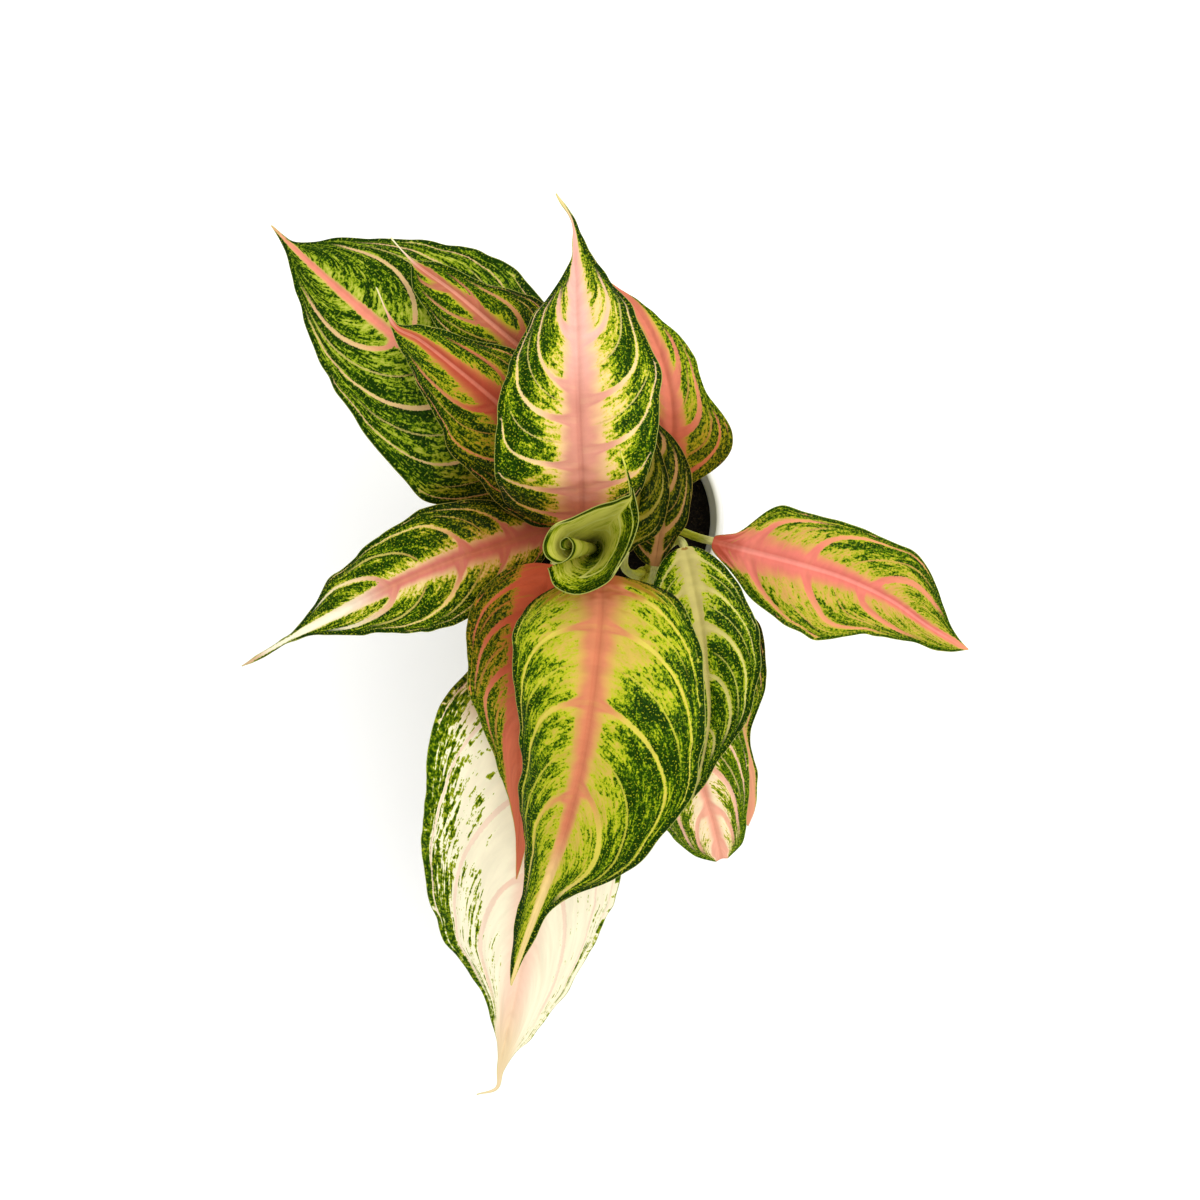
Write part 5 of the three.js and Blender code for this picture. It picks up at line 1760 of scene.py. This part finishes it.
def crumbs(random):
    """Points and faces of all grains: turned about the vertical axis and sunk a little."""
    corners, faces = twenty_sided()
    x, y = crumb_places(random)
    size = SMALLEST_CRUMB + CRUMB_RANGE * random.uniform(0, 1, len(x))**3
    shape = corners[None] * (1 + 0.25 * random.uniform(-1, 1, (len(x), GRAIN_CORNERS, 1)))
    squash = np.stack([np.ones(len(x)), random.uniform(0.5, 1, len(x)),
                       random.uniform(0.35, 0.7, len(x))], 1)
    shape = shape * size[:, None, None] * squash[:, None]
    turn = random.uniform(0, 2 * np.pi, len(x))
    cos, sin = np.cos(turn)[:, None], np.sin(turn)[:, None]
    placed = np.stack([shape[..., 0] * cos - shape[..., 1] * sin + x[:, None],
                       shape[..., 0] * sin + shape[..., 1] * cos + y[:, None],
                       shape[..., 2] + (soil_height(x, y) + 0.2 * size)[:, None]], 2)
    offsets = GRAIN_CORNERS * np.arange(len(x))[:, None, None]
    return placed.reshape(-1, 3), (faces[None] + offsets).reshape(-1, 3)


print("a grain has", len(twenty_sided()[1]), "faces")

# %% [markdown]
# ## Peat
# Moist peat is nearly black and rough, with brown fibres; its colours here are darker still than
# peat's own, which paints in the deep shade inside the pot under the leaves. Fine noise in space,
# gathered into patches by a larger one, brings up the brown, and the same fine noise roughens it.

# %% Peat
def soil_material(name, dark, light):
    """Near-black peat with brown bits, rough all over; the colours are darker than peat's own,
    which paints in the shade inside the pot.
    """
    material, n, shader = new_material(name)
    place = n.add("ShaderNodeTexCoord").outputs["Object"]
    grains = n.noise(place, 900.0, 3.0, 0.7)
    patches = n.noise(place, 140.0, 3.0)
    share = n.times(n.smooth(grains, 0.45, 0.7), n.smooth(patches, 0.35, 0.65))
    dress(n, shader, n.mix(share, dark, light), n.scaled(grains, 0.15, 0.8),
          (grains, 0.6, 0.0005), specular=0.06)
    return material


# Both pairs of colours are darker than real peat and bark: they paint in the deep shade inside the
# pot.
peat = soil_material("potting_soil", (0.003, 0.0022, 0.0015), (0.016, 0.011, 0.007))
bark = soil_material("bark_crumbs", (0.007, 0.005, 0.003), (0.04, 0.024, 0.013))
print("peat and bark differ only in their two colours")

# %% [markdown]
# ## The soil in the pot
# The body of the soil fills the pot below its mound and stands for the frame's
# node. The crumbs have no node of their own: they only ride with the plant.

# %% The soil in the pot
turned_piece("soil_body", soil_rings(), "soil", peat)
grain_points, grain_faces = crumbs(np.random.default_rng(CRUMB_SEED))
grains = mesh_object("soil_crumbs", grain_points, grain_faces, smooth=False)
grains.data.materials.append(bark)
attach(grains, "root")
print("crumbs:", len(grain_points) // GRAIN_CORNERS)

# %% [markdown]
# ## The camera
# The photograph looks straight down from a little over a metre. A camera in
# Blender looks down its own -Z axis, so it needs no turning. Its focal length
# follows from the size at which the pot's rim and the tall leaves are seen.

# %% The camera
CAMERA_PLACE = (-0.0114, -0.0469, 1.1)
SENSOR = 36.0
FOCAL_PIXELS, FRAME_PIXELS = 1724, 1200

camera_data = bpy.data.cameras.new("camera")
camera_data.sensor_width = SENSOR
camera_data.lens = SENSOR * FOCAL_PIXELS / FRAME_PIXELS
camera = in_scene("camera", camera_data)
camera.location = CAMERA_PLACE
bpy.context.scene.camera = camera
print("focal length:", round(camera_data.lens, 1), "mm")

# %% [markdown]
# ## The floor and the light
# A plain pale floor and an even white sky stand for a studio with light walls; the
# floor glows a little, as a light table does, which keeps its shadow faint. One
# large area light from the upper right gives soft shadows that set the leaves
# apart. The view transform is Standard, so white stays white.

# %% The floor and the light
FLOOR_HALF = 12.0
FLOOR_GREY, FLOOR_ROUGHNESS, FLOOR_GLOW = 0.93, 0.9, 0.12
SKY_STRENGTH = 0.8
KEY_PLACE, KEY_SIZE, KEY_WATTS = (0.45, 0.4, 1.8), 1.8, 27

floor_mesh = bpy.data.meshes.new("floor")
floor_mesh.from_pydata([(x * FLOOR_HALF, y * FLOOR_HALF, 0)
                        for x, y in ((-1, -1), (1, -1), (1, 1), (-1, 1))], [], [(0, 1, 2, 3)])
floor = in_scene("floor", floor_mesh)
floor_material, floor_nodes, floor_shader = new_material("floor")
for key, value in (("Base Color", colour([FLOOR_GREY] * 3)), ("Roughness", FLOOR_ROUGHNESS),
                   ("Emission Color", colour([1, 1, 1])), ("Emission Strength", FLOOR_GLOW)):
    floor_nodes.set(floor_shader.inputs[key], value)
floor_mesh.materials.append(floor_material)

world = bpy.data.worlds.new("studio")
world.use_nodes = True
sky = world.node_tree.nodes["Background"]
sky.inputs["Color"].default_value = colour([1, 1, 1])
sky.inputs["Strength"].default_value = SKY_STRENGTH
bpy.context.scene.world = world

key_data = bpy.data.lights.new("key", "AREA")
key_data.size = KEY_SIZE
key_data.energy = KEY_WATTS
key_light = in_scene("key", key_data)
key_light.location = KEY_PLACE
aim = floor.location - key_light.location
key_light.rotation_euler = aim.to_track_quat("-Z", "Y").to_euler()
bpy.context.scene.view_settings.view_transform = "Standard"
print("lights:", [item.name for item in bpy.data.lights])

# %% [markdown]
